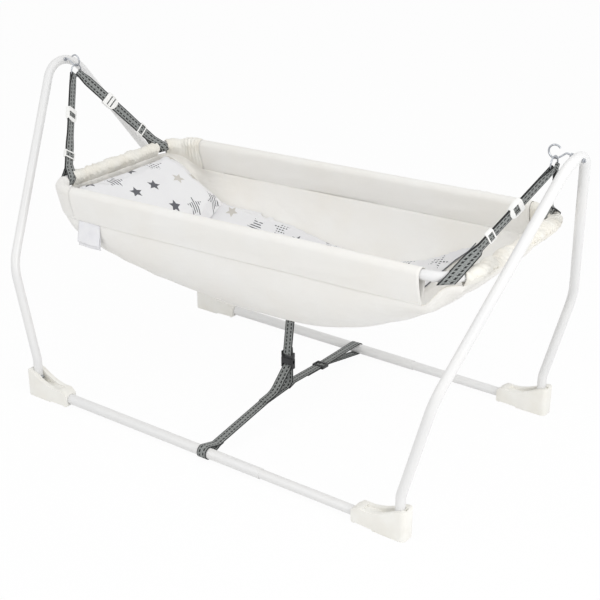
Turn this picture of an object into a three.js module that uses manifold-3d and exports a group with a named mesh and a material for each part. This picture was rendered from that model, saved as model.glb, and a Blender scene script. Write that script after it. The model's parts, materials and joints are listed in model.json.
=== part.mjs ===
// A hanging baby cradle: two bent tube end frames on four feet, a hammock on an oval rail hung from
// two hooks, its strap hardware, and the brake strap below it.
// Lengths are in millimetres, +X runs along the cradle, +Z is up, and the floor is at z = 0.

import * as THREE from 'three';
import { mergeVertices } from 'three/addons/utils/BufferGeometryUtils.js';
import Module from 'manifold-3d';

const wasm = await Module();
wasm.setup();

const degrees = THREE.MathUtils.degToRad;
const alongX = new THREE.Vector3(1, 0, 0);
const alongY = new THREE.Vector3(0, 1, 0);
const alongZ = new THREE.Vector3(0, 0, 1);

// Fits and facets
const clearance = 0.3;
const cutOverrun = 2;
const weldTolerance = 0.001;
const tubeSides = 12;
const wireSides = 8;
const boltSides = 10;
const hexSides = 6;
const endShares = [-1, 1];

// The hammock's length, which the stand follows
const cradleLength = 1132;
const footInset = 37;
const hookOverhang = 89.5;

// End frames
const footSpacingX = cradleLength - footInset * 2;
const footSpacingY = 650;
const frameTubeDiameter = 22;
const frameTubeWall = 1.4;
const frameLean = degrees(14.7);
const lowerBendHeight = 96;
const lowerBendRadius = 60;
const lowerBendSteps = 2;
const kneeHeight = 330;
const kneeSpacingY = 635;
const kneeRadius = 130;
const kneeSteps = 3;
const apexHeight = 760;
const topBendRadius = 70;
const topBendSteps = 9;

// Base tubes
const baseTubeHeight = 18;
const baseTubeDiameter = 25;
const baseTubeWall = 1.2;
const innerBaseTubeDiameter = 22;
const baseJointX = 170;
const baseTubeOverlap = 60;

// Feet, measured along X from the upright's centre, positive outwards
const footWidth = 40;
const footNoseWidth = 34;
const footOuterReach = 22.5;
const footSoleReach = 54;
const footNoseReach = 110;
const footTabWidth = 6;
const footStepHeight = 3;
const footTabHeight = 1;
const footNoseHeight = 31;
const footPadHeight = 41;
const footPadLength = 13;
const footPadSetback = 13;
const footTopHeight = 70;
const footCollarHeight = 61;
const footDishHeight = 47;
const footEdgeRadius = 9;
const footPlanRadius = 13;
const footChannelWidth = 18;
const footChannelFloor = 36;
const footSocketFloor = 24;
const footTubeInset = 13;

// Frame bolts, one in the channel of each foot
const frameBoltHeight = 49;
const frameBoltDiameter = 6;
const frameBoltHeadWidth = 10;
const frameBoltHeadLength = 4;
const frameBoltTip = 18.4;
const frameNutWidth = 10;
const frameNutThickness = 4.6;
const frameNutInset = 1.6;

// Hooks through the tops of the end frames
const hookWire = 4;
const hookOuterReach = 18;
const hookInnerReach = 24;
const hookBowlRadius = 13.5;
const hookBowlX = cradleLength / 2 + hookOverhang;
const hookBowlHeight = 765;
const hookEntryAngle = degrees(-60);
const hookEndAngle = degrees(-322);
const hookLeadIn = 5;
const hookBendRadius = 4;
const hookBendSteps = 2;
const hookBowlSteps = 13;
const hookNutWidth = 9;
const hookNutThickness = 4;

// Metal rings that hang in the hooks
const ringRadius = 16;
const ringWire = 3.5;
const ringWireSides = 6;
const ringSteps = 20;

// The oval rail of the hammock
const cradleWidth = 476;
const cradleCornerRadius = 85;
const cradleHeight = 535;
const cradleShift = 28;
const cradleTilt = degrees(1.63);
const railDiameter = 22;
const railWall = 1.2;
const bowLegLength = 40;
const bowCornerSteps = 5;
const spigotLength = 35;
const spigotTaper = 6;

// Hammock cloth
const clothThickness = 2.4;
const sleeveEase = 0.4;
const sleeveThickness = 2;
const sleeveDrop = 66;
const sleevePocketDrop = 56;
const sleeveArcSteps = 6;
const sleeveEndMargin = 2;
const bellyDepth = 262;
const endRimDrop = 20;
const bellySectionPower = 0.9;
const footSectionPower = 0.6;
const headSectionPower = 0.8;
const headEndPower = 2;
const headEndSharpness = 0.42;
const footEndPower = 2.3;
const footEndSharpness = 1;
const clothSectionSteps = 20;
const clothFoldDepth = 4;
const clothFoldCount = 9;
const clothFoldReachShare = 0.18;
const clothStationShares = [
  -1, -0.985, -0.97, -0.95, -0.92, -0.9, -0.84, -0.76, -0.71, -0.66, -0.52, -0.3, 0, 0.3, 0.5, 0.64, 0.76, 0.88, 0.94, 1,
];
const endSleeveLength = 272;
const endSleeveSteps = 18;
const endSleeveSides = 10;
const ruffleDepth = 2.6;
const ruffleCount = 5;
const ruffleSlant = 0.9;

// Mattress and pillow
const mattressThickness = 24;
const mattressEdgeThickness = 7;
const mattressHeadShare = -0.9;
const mattressFootShare = 0.64;
const mattressSideShare = 0.15;
const pillowEdgeThickness = 7;
const pillowHeadShare = -0.985;
const pillowFootShare = -0.66;
const pillowSideShare = 0.15;
const pillowHeadDrop = 0;
const pillowFootDrop = 112;
const pillowHeadRounding = 0.08;
const pillowSideRounding = 0.12;
const pillowFootRounding = 0.25;

// Hanging straps, between the metal rings and the corners of the rail
const webbingWidth = 25;
const webbingThickness = 1.5;
const plyGap = 2.2;
const gatheredWidth = 16;
const headStrapAngle = degrees(10);
const footStrapAngle = degrees(50);
const ringStrapAngle = degrees(47);
const ringWrapRadius = 3.7;
const ringWrapRise = 3.7;
const ringWrapSteps = 6;
const gatherLength = 32;
const railWrapSlack = 4;
const railWrapSteps = 10;
const joinLength = 44;
const joinSteps = 6;
const joinRiseReach = 27;
const joinStrapReach = 14;
const gatherSteps = 3;
const twistLength = 36;
const twistShares = { left: 0.62, right: 0.775 };
const twistSteps = 4;
const seamGap = 0.3;

// White strap hardware
const hardwareEase = 0.8;
const adjusterWidth = 34;
const adjusterLength = 37;
const adjusterThickness = 10;
const adjusterCornerRadius = 4;
const adjusterWindowLength = 14;
const keeperWidth = 32;
const keeperLength = 19;
const keeperThickness = 8;
const keeperBarLength = 3.5;
const adjusterShares = { left_front: 0.39, left_back: 0.375, right_front: 0.365, right_back: 0.4 };
const keeperShares = { left_front: 0.77, left_back: 0.76, right_front: 0.62, right_back: 0.62 };

// Brake strap
const brakeShift = 5.5;
const brakeFrontTurn = degrees(0.75);
const brakeBackTurn = degrees(2.6);
const brakeJunctionHeight = 50;
const brakeSlopeReach = 100;
const brakeSlopeHeight = 47;
const brakeRiseRadius = 20;
const brakeRiseSteps = 4;
const brakeCurveReach = 58;
const brakeCurveHeight = 54;
const brakeCurveRadius = 50;
const brakeCurveSteps = 3;
const brakeSewnReach = 104;
const backStartReach = 12;
const backPeakReach = 14;
const backPeakHeight = 53.5;
const backBendReach = 172;
const backBendHeight = 40;
const brakeTubeEase = 1.2;
const brakeWrapSteps = 10;
const sewnPlySpacing = 1.85;
const frontMeetReach = 284;
const frontMeetHeight = 20;
const frontTailReach = 272;
const backTailReach = 72;
const ladderLockReach = 148;
const ladderLockLength = 28;
const ladderLockWidth = 32;
const ladderLockThickness = 9;
const bellyFlapLength = 20;
const bellyFlapRadius = 4;
const bellyFlapSteps = 2;
const bellyFlapGap = 0.5;

// Buckle of the brake strap
const buckleWidth = 34;
const buckleThickness = 11;
const buckleWall = 2;
const buckleBarRadius = 2;
const buckleBarInset = 3.6;
const buckleBarSteps = 6;
const buckleWindowLength = 11;
const buckleReturnLength = 20;
const upperStrapLean = degrees(5.7);
const socketBottom = 98;
const socketLength = 27;
const socketSideWindowLength = 9;
const socketSideWindowDrop = 4;
const plugShoulderLength = 14;
const plugGap = 1.2;
const plugTongueLength = 12;
const plugTongueWidth = 12;
const plugTongueThickness = 5;
const plugProngWidth = 5;

// Sewn tag, two bare leaves that hang from the front sleeve's seam, joined by their hem
const tagWidth = 68;
const tagLeafLength = 54;
const tagBackLength = 64;
const tagThickness = 0.8;
const tagHemLength = 4;
const tagPlaceShare = -0.76;

// Turning a closed shape into a solid for cutting and joining, and back
function toSolid(geometry) {
  const bare = geometry.clone();
  bare.deleteAttribute('normal');
  bare.deleteAttribute('uv');
  const welded = mergeVertices(bare, weldTolerance);
  const vertProperties = new Float32Array(welded.attributes.position.array);
  const triVerts = new Uint32Array(welded.index.array);
  return new wasm.Manifold(new wasm.Mesh({ numProp: 3, vertProperties, triVerts }));
}

function toGeometry(solid) {
  const mesh = solid.getMesh();
  const geometry = new THREE.BufferGeometry();
  geometry.setAttribute('position', new THREE.BufferAttribute(new Float32Array(mesh.vertProperties), 3));
  geometry.setIndex(new THREE.BufferAttribute(new Uint32Array(mesh.triVerts), 1));
  geometry.computeVertexNormals();
  return geometry;
}

function cut(body, ...tools) {
  return toGeometry(tools.reduce((solid, tool) => solid.subtract(toSolid(tool)), toSolid(body)));
}

function join(first, ...others) {
  return toGeometry(others.reduce((solid, other) => solid.add(toSolid(other)), toSolid(first)));
}

function common(first, second) {
  return toGeometry(toSolid(first).intersect(toSolid(second)));
}

// A bore whose flat facets stay clear of a round piece of the given diameter
function boreRadius(diameter, sides, ease = clearance) {
  return (diameter / 2 + ease) / Math.cos(Math.PI / sides);
}

// A block between two corners
function block(low, high) {
  const size = new THREE.Vector3().subVectors(high, low);
  const centre = new THREE.Vector3().addVectors(low, high).multiplyScalar(1 / 2);
  return new THREE.BoxGeometry(size.x, size.y, size.z).translate(centre.x, centre.y, centre.z);
}

// A rod or prism between two points
function rod(start, end, radius, sides) {
  const axis = new THREE.Vector3().subVectors(end, start);
  const geometry = new THREE.CylinderGeometry(radius, radius, axis.length(), sides);
  const turn = new THREE.Quaternion().setFromUnitVectors(alongY, axis.clone().normalize());
  const centre = new THREE.Vector3().addVectors(start, end).multiplyScalar(1 / 2);
  return geometry.applyQuaternion(turn).translate(centre.x, centre.y, centre.z);
}

function hexNut(start, end, acrossFlats, boltDiameter) {
  const body = rod(start, end, acrossFlats / Math.sqrt(3), hexSides);
  const axis = new THREE.Vector3().subVectors(end, start).normalize().multiplyScalar(cutOverrun);
  const hole = rod(start.clone().sub(axis), end.clone().add(axis), boreRadius(boltDiameter, boltSides), boltSides);
  return cut(body, hole);
}

// A curve held as stations, each a point and its direction, so that straights need no steps
class StationCurve extends THREE.Curve {
  constructor(stations) {
    super();
    this.stations = stations;
  }

  station(share) {
    return this.stations[Math.round(share * (this.stations.length - 1))];
  }

  getPoint(share, target = new THREE.Vector3()) {
    return target.copy(this.station(share).point);
  }

  getPointAt(share, target) {
    return this.getPoint(share, target);
  }

  getTangentAt(share, target = new THREE.Vector3()) {
    return target.copy(this.station(share).tangent);
  }
}

function direction(from, to) {
  return new THREE.Vector3().subVectors(to, from).normalize();
}

// Stations along a line with rounded corners
function roundedStations(corners, radii, steps) {
  const stations = [{ point: corners[0], tangent: direction(corners[0], corners[1]) }];
  for (let i = 1; i < corners.length - 1; i += 1) {
    const radius = radii[i - 1];
    const back = direction(corners[i], corners[i - 1]);
    const ahead = direction(corners[i], corners[i + 1]);
    const halfAngle = back.angleTo(ahead) / 2;
    const inward = back.clone().add(ahead).normalize();
    const centre = corners[i].clone().addScaledVector(inward, radius / Math.sin(halfAngle));
    const start = corners[i].clone().addScaledVector(back, radius / Math.tan(halfAngle)).sub(centre);
    const entry = back.clone().negate();
    const axis = entry.clone().cross(ahead).normalize();
    for (let k = 0; k <= steps[i - 1]; k += 1) {
      const turn = (Math.PI - halfAngle * 2) * (k / steps[i - 1]);
      const point = start.clone().applyAxisAngle(axis, turn).add(centre);
      stations.push({ point, tangent: entry.clone().applyAxisAngle(axis, turn) });
    }
  }
  const last = corners.length - 1;
  stations.push({ point: corners[last], tangent: direction(corners[last - 1], corners[last]) });
  return stations;
}

function circlePoints(radius, sides) {
  return Array.from({ length: sides }, (_, i) => {
    const angle = (i / sides) * Math.PI * 2;
    return new THREE.Vector2(radius * Math.cos(angle), radius * Math.sin(angle));
  });
}

function sweep(shape, stations) {
  const extrudePath = new StationCurve(stations);
  return new THREE.ExtrudeGeometry(shape, { extrudePath, steps: stations.length - 1, bevelEnabled: false });
}

function bentTube(stations, diameter, wall) {
  const shape = new THREE.Shape(circlePoints(diameter / 2, tubeSides));
  shape.holes.push(new THREE.Path(circlePoints(diameter / 2 - wall, tubeSides)));
  return sweep(shape, stations);
}

function bentWire(stations, diameter) {
  return sweep(new THREE.Shape(circlePoints(diameter / 2, wireSides)), stations);
}

// Closed skins built from rows of points, turned so that their faces point out
function outward(points, triangles) {
  let volume = 0;
  for (let i = 0; i < triangles.length; i += 3) {
    const [a, b, c] = [points[triangles[i]], points[triangles[i + 1]], points[triangles[i + 2]]];
    volume += a.dot(b.clone().cross(c));
  }
  const index = volume < 0 ? triangles.slice().reverse() : triangles;
  const geometry = new THREE.BufferGeometry().setFromPoints(points);
  geometry.setIndex(index);
  geometry.computeVertexNormals();
  return geometry;
}

function addQuad(triangles, a, b, c, d) {
  triangles.push(a, b, c, a, c, d);
}

// A solid through closed rings of points, with flat ends
function loftedSolid(rings) {
  const count = rings[0].length;
  const points = rings.flat();
  const triangles = [];
  for (let i = 0; i < rings.length - 1; i += 1) {
    for (let j = 0; j < count; j += 1) {
      const next = (j + 1) % count;
      const base = i * count;
      addQuad(triangles, base + j, base + next, base + count + next, base + count + j);
    }
  }
  const last = (rings.length - 1) * count;
  for (let j = 1; j < count - 1; j += 1) {
    triangles.push(0, j + 1, j);
    triangles.push(last, last + j, last + j + 1);
  }
  return outward(points, triangles);
}

// A wall between an outer and an inner row of closed rings, open at both ends
function loftedWall(outerRings, innerRings) {
  const count = outerRings[0].length;
  const outerEnd = outerRings.length - 1;
  const innerEnd = innerRings.length - 1;
  const points = [...outerRings.flat(), ...innerRings.flat()];
  const outer = (i, k) => i * count + k;
  const inner = (i, k) => (outerRings.length + i) * count + k;
  const triangles = [];
  for (let j = 0; j < count; j += 1) {
    const next = (j + 1) % count;
    for (let i = 0; i < outerEnd; i += 1) {
      addQuad(triangles, outer(i, j), outer(i, next), outer(i + 1, next), outer(i + 1, j));
    }
    for (let i = 0; i < innerEnd; i += 1) {
      addQuad(triangles, inner(i, j), inner(i + 1, j), inner(i + 1, next), inner(i, next));
    }
    addQuad(triangles, outer(0, next), outer(0, j), inner(0, j), inner(0, next));
    addQuad(triangles, outer(outerEnd, j), outer(outerEnd, next), inner(innerEnd, next), inner(innerEnd, j));
  }
  return outward(points, triangles);
}

// A solid between two grids of points that face each other
function sheetSolid(front, back) {
  const rows = front.length;
  const columns = front[0].length;
  const points = [...front.flat(), ...back.flat()];
  const triangles = [];
  const f = (i, j) => i * columns + j;
  const b = (i, j) => (rows + i) * columns + j;
  for (let i = 0; i < rows - 1; i += 1) {
    for (let j = 0; j < columns - 1; j += 1) {
      addQuad(triangles, f(i, j), f(i + 1, j), f(i + 1, j + 1), f(i, j + 1));
      addQuad(triangles, b(i, j), b(i, j + 1), b(i + 1, j + 1), b(i + 1, j));
    }
    const end = columns - 1;
    addQuad(triangles, f(i + 1, 0), f(i, 0), b(i, 0), b(i + 1, 0));
    addQuad(triangles, f(i, end), f(i + 1, end), b(i + 1, end), b(i, end));
  }
  for (let j = 0; j < columns - 1; j += 1) {
    const end = rows - 1;
    addQuad(triangles, f(0, j), f(0, j + 1), b(0, j + 1), b(0, j));
    addQuad(triangles, f(end, j + 1), f(end, j), b(end, j), b(end, j + 1));
  }
  return outward(points, triangles);
}

// Webbing: stations with a point, the direction across the strap and the direction through it
function webbing(stations) {
  return loftedSolid(stations.map(({ point, across, through, width = webbingWidth }) => {
    const side = across.clone().multiplyScalar(width / 2);
    const face = through.clone().multiplyScalar(webbingThickness / 2);
    return [
      point.clone().add(side).add(face),
      point.clone().sub(side).add(face),
      point.clone().sub(side).sub(face),
      point.clone().add(side).sub(face),
    ];
  }));
}

// Gives each station of a strap the direction through it, from the run of its points
function withThroughs(stations) {
  return stations.map((station, i) => {
    const before = stations[Math.max(i - 1, 0)].point;
    const after = stations[Math.min(i + 1, stations.length - 1)].point;
    const through = station.across.clone().cross(direction(before, after)).normalize();
    return { ...station, through };
  });
}

// Materials
function finish(color, roughness, metalness = 0) {
  return () => new THREE.MeshStandardMaterial({ color, roughness, metalness });
}

const whiteEnamel = finish(0xf4f3f0, 0.32, 0.1);
const whitePlastic = finish(0xf1efe8, 0.45);
const blackPlastic = finish(0x17181a, 0.42);
const zincPlate = finish(0xb4b7ba, 0.28, 0.9);
const creamCotton = finish(0xf5efe1, 0.9);
const printedCotton = finish(0xf1f1ef, 0.9);
const greyWebbing = finish(0x474c50, 0.85);
const whiteSatin = finish(0xf7f6f4, 0.6);

const model = new THREE.Group();

function addPiece(name, geometry, material, parent = model) {
  const mesh = new THREE.Mesh(geometry, material());
  mesh.name = name;
  parent.add(mesh);
  return mesh;
}

// Sides and ends, with the names that the pieces carry
const ends = [{ end: 'left', sx: -1 }, { end: 'right', sx: 1 }];
const sides = [{ side: 'front', sy: -1 }, { side: 'back', sy: 1 }];
const uprightX = footSpacingX / 2;
const uprightY = footSpacingY / 2;

// The end frames lean outwards from the lower bend, each in a plane of its own
const frameRun = new THREE.Vector3(Math.sin(frameLean), 0, Math.cos(frameLean));
const topCentreRise = (apexHeight - lowerBendHeight) / Math.cos(frameLean) - topBendRadius;
const kneeRise = (kneeHeight - lowerBendHeight) / Math.cos(frameLean);

function framePoint(y, rise) {
  return new THREE.Vector3(uprightX, y, lowerBendHeight).addScaledVector(frameRun, rise);
}

function frameStations() {
  const kneeY = kneeSpacingY / 2;
  const kneeToCentre = Math.hypot(kneeY, topCentreRise - kneeRise);
  const legAngle = Math.atan2(kneeY, topCentreRise - kneeRise) - Math.asin(topBendRadius / kneeToCentre);
  const peak = framePoint(0, topCentreRise + topBendRadius / Math.sin(legAngle));
  const leg = (sy) => [
    new THREE.Vector3(uprightX, uprightY * sy, footSocketFloor + clearance),
    new THREE.Vector3(uprightX, uprightY * sy, lowerBendHeight),
    framePoint(kneeY * sy, kneeRise),
  ];
  const corners = [...leg(-1), peak, ...leg(1).reverse()];
  const radii = [lowerBendRadius, kneeRadius, topBendRadius, kneeRadius, lowerBendRadius];
  const steps = [lowerBendSteps, kneeSteps, topBendSteps, kneeSteps, lowerBendSteps];
  return roundedStations(corners, radii, steps);
}

const shankRun = new THREE.Vector3(-Math.cos(frameLean), 0, Math.sin(frameLean));
const apex = framePoint(0, topCentreRise + topBendRadius);

function endFrame() {
  const tube = bentTube(frameStations(), frameTubeDiameter, frameTubeWall);
  const tools = endShares.map((sy) => rod(
    new THREE.Vector3(uprightX - frameTubeDiameter, uprightY * sy, frameBoltHeight),
    new THREE.Vector3(uprightX + frameTubeDiameter, uprightY * sy, frameBoltHeight),
    boreRadius(frameBoltDiameter, boltSides),
    boltSides,
  ));
  tools.push(rod(
    apex.clone().addScaledVector(shankRun, -frameTubeDiameter),
    apex.clone().addScaledVector(shankRun, frameTubeDiameter),
    boreRadius(hookWire, boltSides),
    boltSides,
  ));
  return cut(tube, ...tools);
}

// A foot, drawn for the right end with the upright's centre at x = 0
function footOutline() {
  const sole = -footSoleReach;
  const nose = -footNoseReach;
  const tab = nose + footTabWidth / 2;
  const padStart = nose + footPadSetback;
  const padEnd = padStart + footPadLength;
  const collar = -frameTubeDiameter / 2 - clearance;
  const shape = new THREE.Shape();
  shape.moveTo(footOuterReach, 0);
  shape.lineTo(footOuterReach, footTopHeight - footEdgeRadius);
  shape.quadraticCurveTo(footOuterReach, footTopHeight, footOuterReach - footEdgeRadius, footTopHeight);
  shape.lineTo(0, footTopHeight - footStepHeight);
  shape.lineTo(collar, footCollarHeight);
  shape.quadraticCurveTo((collar + padEnd) / 2, footDishHeight - footEdgeRadius, padEnd, footPadHeight - footTabHeight);
  shape.lineTo(padEnd, footPadHeight);
  shape.lineTo(padStart, footPadHeight);
  shape.lineTo(nose, footNoseHeight);
  shape.lineTo(nose, footStepHeight);
  shape.lineTo(tab, footTabHeight);
  shape.lineTo(tab + footTabWidth, footTabHeight);
  shape.lineTo(tab + footTabWidth, footStepHeight);
  shape.lineTo(sole - footStepHeight, footStepHeight);
  shape.lineTo(sole, 0);
  return shape;
}

function footPlan() {
  const half = footWidth / 2;
  const noseHalf = footNoseWidth / 2;
  const nose = -footNoseReach - cutOverrun;
  const shape = new THREE.Shape();
  shape.moveTo(nose, -noseHalf);
  shape.lineTo(-footSoleReach, -half);
  shape.lineTo(footOuterReach - footPlanRadius, -half);
  shape.quadraticCurveTo(footOuterReach, -half, footOuterReach, -half + footPlanRadius);
  shape.lineTo(footOuterReach, half - footPlanRadius);
  shape.quadraticCurveTo(footOuterReach, half, footOuterReach - footPlanRadius, half);
  shape.lineTo(-footSoleReach, half);
  shape.lineTo(nose, noseHalf);
  return shape;
}

// The sizes of the base tube that ends in each end's feet
const footTube = { left: baseTubeDiameter, right: innerBaseTubeDiameter };

function foot(tubeDiameter) {
  const flat = { bevelEnabled: false, curveSegments: 5 };
  const side = new THREE.ExtrudeGeometry(footOutline(), { ...flat, depth: footWidth + cutOverrun * 2 })
    .rotateX(Math.PI / 2)
    .translate(0, footWidth / 2 + cutOverrun, 0);
  const plan = new THREE.ExtrudeGeometry(footPlan(), { ...flat, depth: footTopHeight + cutOverrun * 2 })
    .translate(0, 0, -cutOverrun);
  const stubRadius = boreRadius(frameTubeDiameter, tubeSides);
  const above = footTopHeight + cutOverrun;
  const stub = rod(
    new THREE.Vector3(0, 0, footSocketFloor),
    new THREE.Vector3(0, 0, above),
    stubRadius,
    tubeSides,
  );
  const tubeSocket = rod(
    new THREE.Vector3(-footNoseReach - cutOverrun, 0, baseTubeHeight),
    new THREE.Vector3(-frameTubeDiameter / 2 - footTubeInset + clearance, 0, baseTubeHeight),
    boreRadius(tubeDiameter, tubeSides),
    tubeSides,
  );
  const channel = block(
    new THREE.Vector3(-footNoseReach + footPadSetback + footPadLength, -footChannelWidth / 2, footChannelFloor),
    new THREE.Vector3(0, footChannelWidth / 2, above),
  );
  const boltHole = rod(
    new THREE.Vector3(0, 0, frameBoltHeight),
    new THREE.Vector3(frameBoltTip + clearance, 0, frameBoltHeight),
    boreRadius(frameBoltDiameter, boltSides),
    boltSides,
  );
  const nutStart = frameTubeDiameter / 2 + frameNutInset;
  const nutHalf = frameNutWidth / 2 + clearance;
  const nutDrop = frameNutWidth / Math.sqrt(3) + clearance;
  const nutPocket = block(
    new THREE.Vector3(nutStart - clearance, -nutHalf, frameBoltHeight - nutDrop),
    new THREE.Vector3(nutStart + frameNutThickness + clearance, nutHalf, above),
  );
  return cut(common(side, plan), stub, tubeSocket, channel, boltHole, nutPocket);
}

function frameBolt() {
  const face = -frameTubeDiameter / 2 - clearance;
  const head = rod(
    new THREE.Vector3(face - frameBoltHeadLength, 0, frameBoltHeight),
    new THREE.Vector3(face, 0, frameBoltHeight),
    frameBoltHeadWidth / Math.sqrt(3),
    hexSides,
  );
  const shank = rod(
    new THREE.Vector3(face - frameBoltHeadLength / 2, 0, frameBoltHeight),
    new THREE.Vector3(frameBoltTip, 0, frameBoltHeight),
    frameBoltDiameter / 2,
    boltSides,
  );
  return join(head, shank);
}

function frameNut() {
  const start = frameTubeDiameter / 2 + frameNutInset;
  return hexNut(
    new THREE.Vector3(start, 0, frameBoltHeight),
    new THREE.Vector3(start + frameNutThickness, 0, frameBoltHeight),
    frameNutWidth,
    frameBoltDiameter,
  );
}

for (const { end, sx } of ends) {
  const turn = sx < 0 ? Math.PI : 0;
  addPiece(`end_frame_${end}`, endFrame(), whiteEnamel).rotation.z = turn;
  for (const { side, sy } of sides) {
    const corner = new THREE.Group();
    corner.position.set(uprightX * sx, uprightY * sy, 0);
    corner.rotation.z = turn;
    addPiece(`foot_${end}_${side}`, foot(footTube[end]), whitePlastic, corner);
    addPiece(`frame_bolt_${end}_${side}`, frameBolt(), zincPlate, corner);
    addPiece(`frame_nut_${end}_${side}`, frameNut(), zincPlate, corner);
    model.add(corner);
  }
}

// Base tubes: the wide tube at the left takes the narrow one from the right
function straightTube(startX, endX, diameter, wall) {
  const outerRadius = diameter / 2;
  const profile = [
    new THREE.Vector2(outerRadius - wall, startX),
    new THREE.Vector2(outerRadius, startX),
    new THREE.Vector2(outerRadius, endX),
    new THREE.Vector2(outerRadius - wall, endX),
    new THREE.Vector2(outerRadius - wall, startX),
  ];
  return new THREE.LatheGeometry(profile, tubeSides).rotateZ(-Math.PI / 2);
}

const baseTubeEnd = uprightX - frameTubeDiameter / 2 - footTubeInset;
for (const { side, sy } of sides) {
  const outer = straightTube(-baseTubeEnd, baseJointX, baseTubeDiameter, baseTubeWall);
  const inner = straightTube(baseJointX - baseTubeOverlap, baseTubeEnd, innerBaseTubeDiameter, baseTubeWall);
  addPiece(`base_tube_${side}_outer`, outer, whiteEnamel).position.set(0, uprightY * sy, baseTubeHeight);
  addPiece(`base_tube_${side}_inner`, inner, whiteEnamel).position.set(0, uprightY * sy, baseTubeHeight);
}

// Hooks, drawn at the right end
function hookStations() {
  const bowl = new THREE.Vector3(hookBowlX, 0, hookBowlHeight);
  const onBowl = (angle) => bowl.clone().add(
    new THREE.Vector3(hookBowlRadius * Math.cos(angle), 0, hookBowlRadius * Math.sin(angle)),
  );
  const along = (angle) => new THREE.Vector3(Math.sin(angle), 0, -Math.cos(angle));
  const entry = onBowl(hookEntryAngle);
  const corners = [
    apex.clone().addScaledVector(shankRun, -hookOuterReach),
    apex.clone().addScaledVector(shankRun, hookInnerReach),
    entry.clone().addScaledVector(along(hookEntryAngle), -hookLeadIn),
    entry,
  ];
  const stations = roundedStations(corners, [hookBendRadius, hookBendRadius], [hookBendSteps, hookBendSteps]);
  stations.pop();
  for (let k = 0; k <= hookBowlSteps; k += 1) {
    const angle = THREE.MathUtils.lerp(hookEntryAngle, hookEndAngle, k / hookBowlSteps);
    stations.push({ point: onBowl(angle), tangent: along(angle) });
  }
  return stations;
}

function hookNut(sign) {
  const start = apex.clone().addScaledVector(shankRun, (frameTubeDiameter / 2 + clearance) * sign);
  const end = start.clone().addScaledVector(shankRun, hookNutThickness * sign);
  return hexNut(start, end, hookNutWidth, hookWire);
}

const troughHeight = hookBowlHeight - hookBowlRadius;
const ringDrop = ringRadius - ringWire / 2 - hookWire / 2 - clearance;
const ringHeight = troughHeight - ringDrop;

for (const { end, sx } of ends) {
  const turn = sx < 0 ? Math.PI : 0;
  addPiece(`hook_${end}`, bentWire(hookStations(), hookWire), zincPlate).rotation.z = turn;
  addPiece(`hook_nut_inner_${end}`, hookNut(1), zincPlate).rotation.z = turn;
  addPiece(`hook_nut_outer_${end}`, hookNut(-1), zincPlate).rotation.z = turn;
  const ring = new THREE.TorusGeometry(ringRadius, ringWire / 2, ringWireSides, ringSteps).rotateY(Math.PI / 2);
  addPiece(`metal_ring_${end}`, ring, zincPlate).position.set(hookBowlX * sx, 0, ringHeight);
}

// The hammock hangs a little higher at its foot end
const cradle = new THREE.Group();
cradle.position.set(cradleShift, 0, cradleHeight + cradleShift * Math.tan(cradleTilt));
cradle.rotation.y = -cradleTilt;
cradle.updateMatrix();
model.add(cradle);

const halfLength = cradleLength / 2;
const halfWidth = cradleWidth / 2;
const cornerX = halfLength - cradleCornerRadius;
const cornerY = halfWidth - cradleCornerRadius;
const bowEndX = cornerX - bowLegLength;

function bow() {
  const corners = [
    new THREE.Vector3(bowEndX, -halfWidth, 0),
    new THREE.Vector3(halfLength, -halfWidth, 0),
    new THREE.Vector3(halfLength, halfWidth, 0),
    new THREE.Vector3(bowEndX, halfWidth, 0),
  ];
  const radii = [cradleCornerRadius, cradleCornerRadius];
  return bentTube(roundedStations(corners, radii, [bowCornerSteps, bowCornerSteps]), railDiameter, railWall);
}

// A side rail, narrowed at both ends to plug into the bows
function rail() {
  const outerRadius = railDiameter / 2;
  const innerRadius = outerRadius - railWall;
  const spigotRadius = innerRadius * Math.cos(Math.PI / tubeSides) - clearance;
  const spigotInner = spigotRadius - railWall;
  const shoulder = bowEndX - clearance;
  const tip = bowEndX + spigotLength;
  const half = [
    [spigotInner, tip],
    [spigotRadius, tip],
    [spigotRadius, shoulder],
    [outerRadius, shoulder],
  ];
  const bore = [
    [innerRadius, shoulder - spigotTaper],
    [spigotInner, shoulder],
  ];
  const profile = [
    ...half.map(([r, x]) => new THREE.Vector2(r, -x)),
    ...half.slice().reverse().map(([r, x]) => new THREE.Vector2(r, x)),
    ...bore.slice().reverse().map(([r, x]) => new THREE.Vector2(r, x)),
    ...bore.map(([r, x]) => new THREE.Vector2(r, -x)),
    new THREE.Vector2(spigotInner, -tip),
  ];
  return new THREE.LatheGeometry(profile, tubeSides).rotateZ(-Math.PI / 2);
}

for (const { end, sx } of ends) {
  addPiece(`end_bow_${end}`, bow(), whiteEnamel, cradle).rotation.z = sx < 0 ? Math.PI : 0;
}
for (const { side, sy } of sides) {
  addPiece(`rail_${side}`, rail(), whiteEnamel, cradle).position.set(0, halfWidth * sy, 0);
}

// The long sleeves hang as a flat pocket below the rail, down to their stitch line
function dropOutline(radius, drop) {
  const lift = Math.asin(radius / drop);
  const shape = new THREE.Shape();
  shape.moveTo(0, -drop);
  shape.lineTo(radius * Math.cos(lift), -radius * Math.sin(lift));
  shape.absarc(0, 0, radius, -lift, Math.PI + lift, false);
  return shape;
}

const sleeveInnerRadius = boreRadius(railDiameter, tubeSides, sleeveEase);
const sleeveHalf = cornerX - sleeveEndMargin;

function longSleeve() {
  const outline = dropOutline(sleeveInnerRadius + sleeveThickness, sleeveDrop);
  outline.holes.push(dropOutline(sleeveInnerRadius, sleevePocketDrop));
  const flat = { bevelEnabled: false, curveSegments: sleeveArcSteps, depth: sleeveHalf * 2 };
  return new THREE.ExtrudeGeometry(outline, flat)
    .translate(0, 0, -sleeveHalf)
    .applyMatrix4(new THREE.Matrix4().makeBasis(alongY, alongZ, alongX));
}

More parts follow.
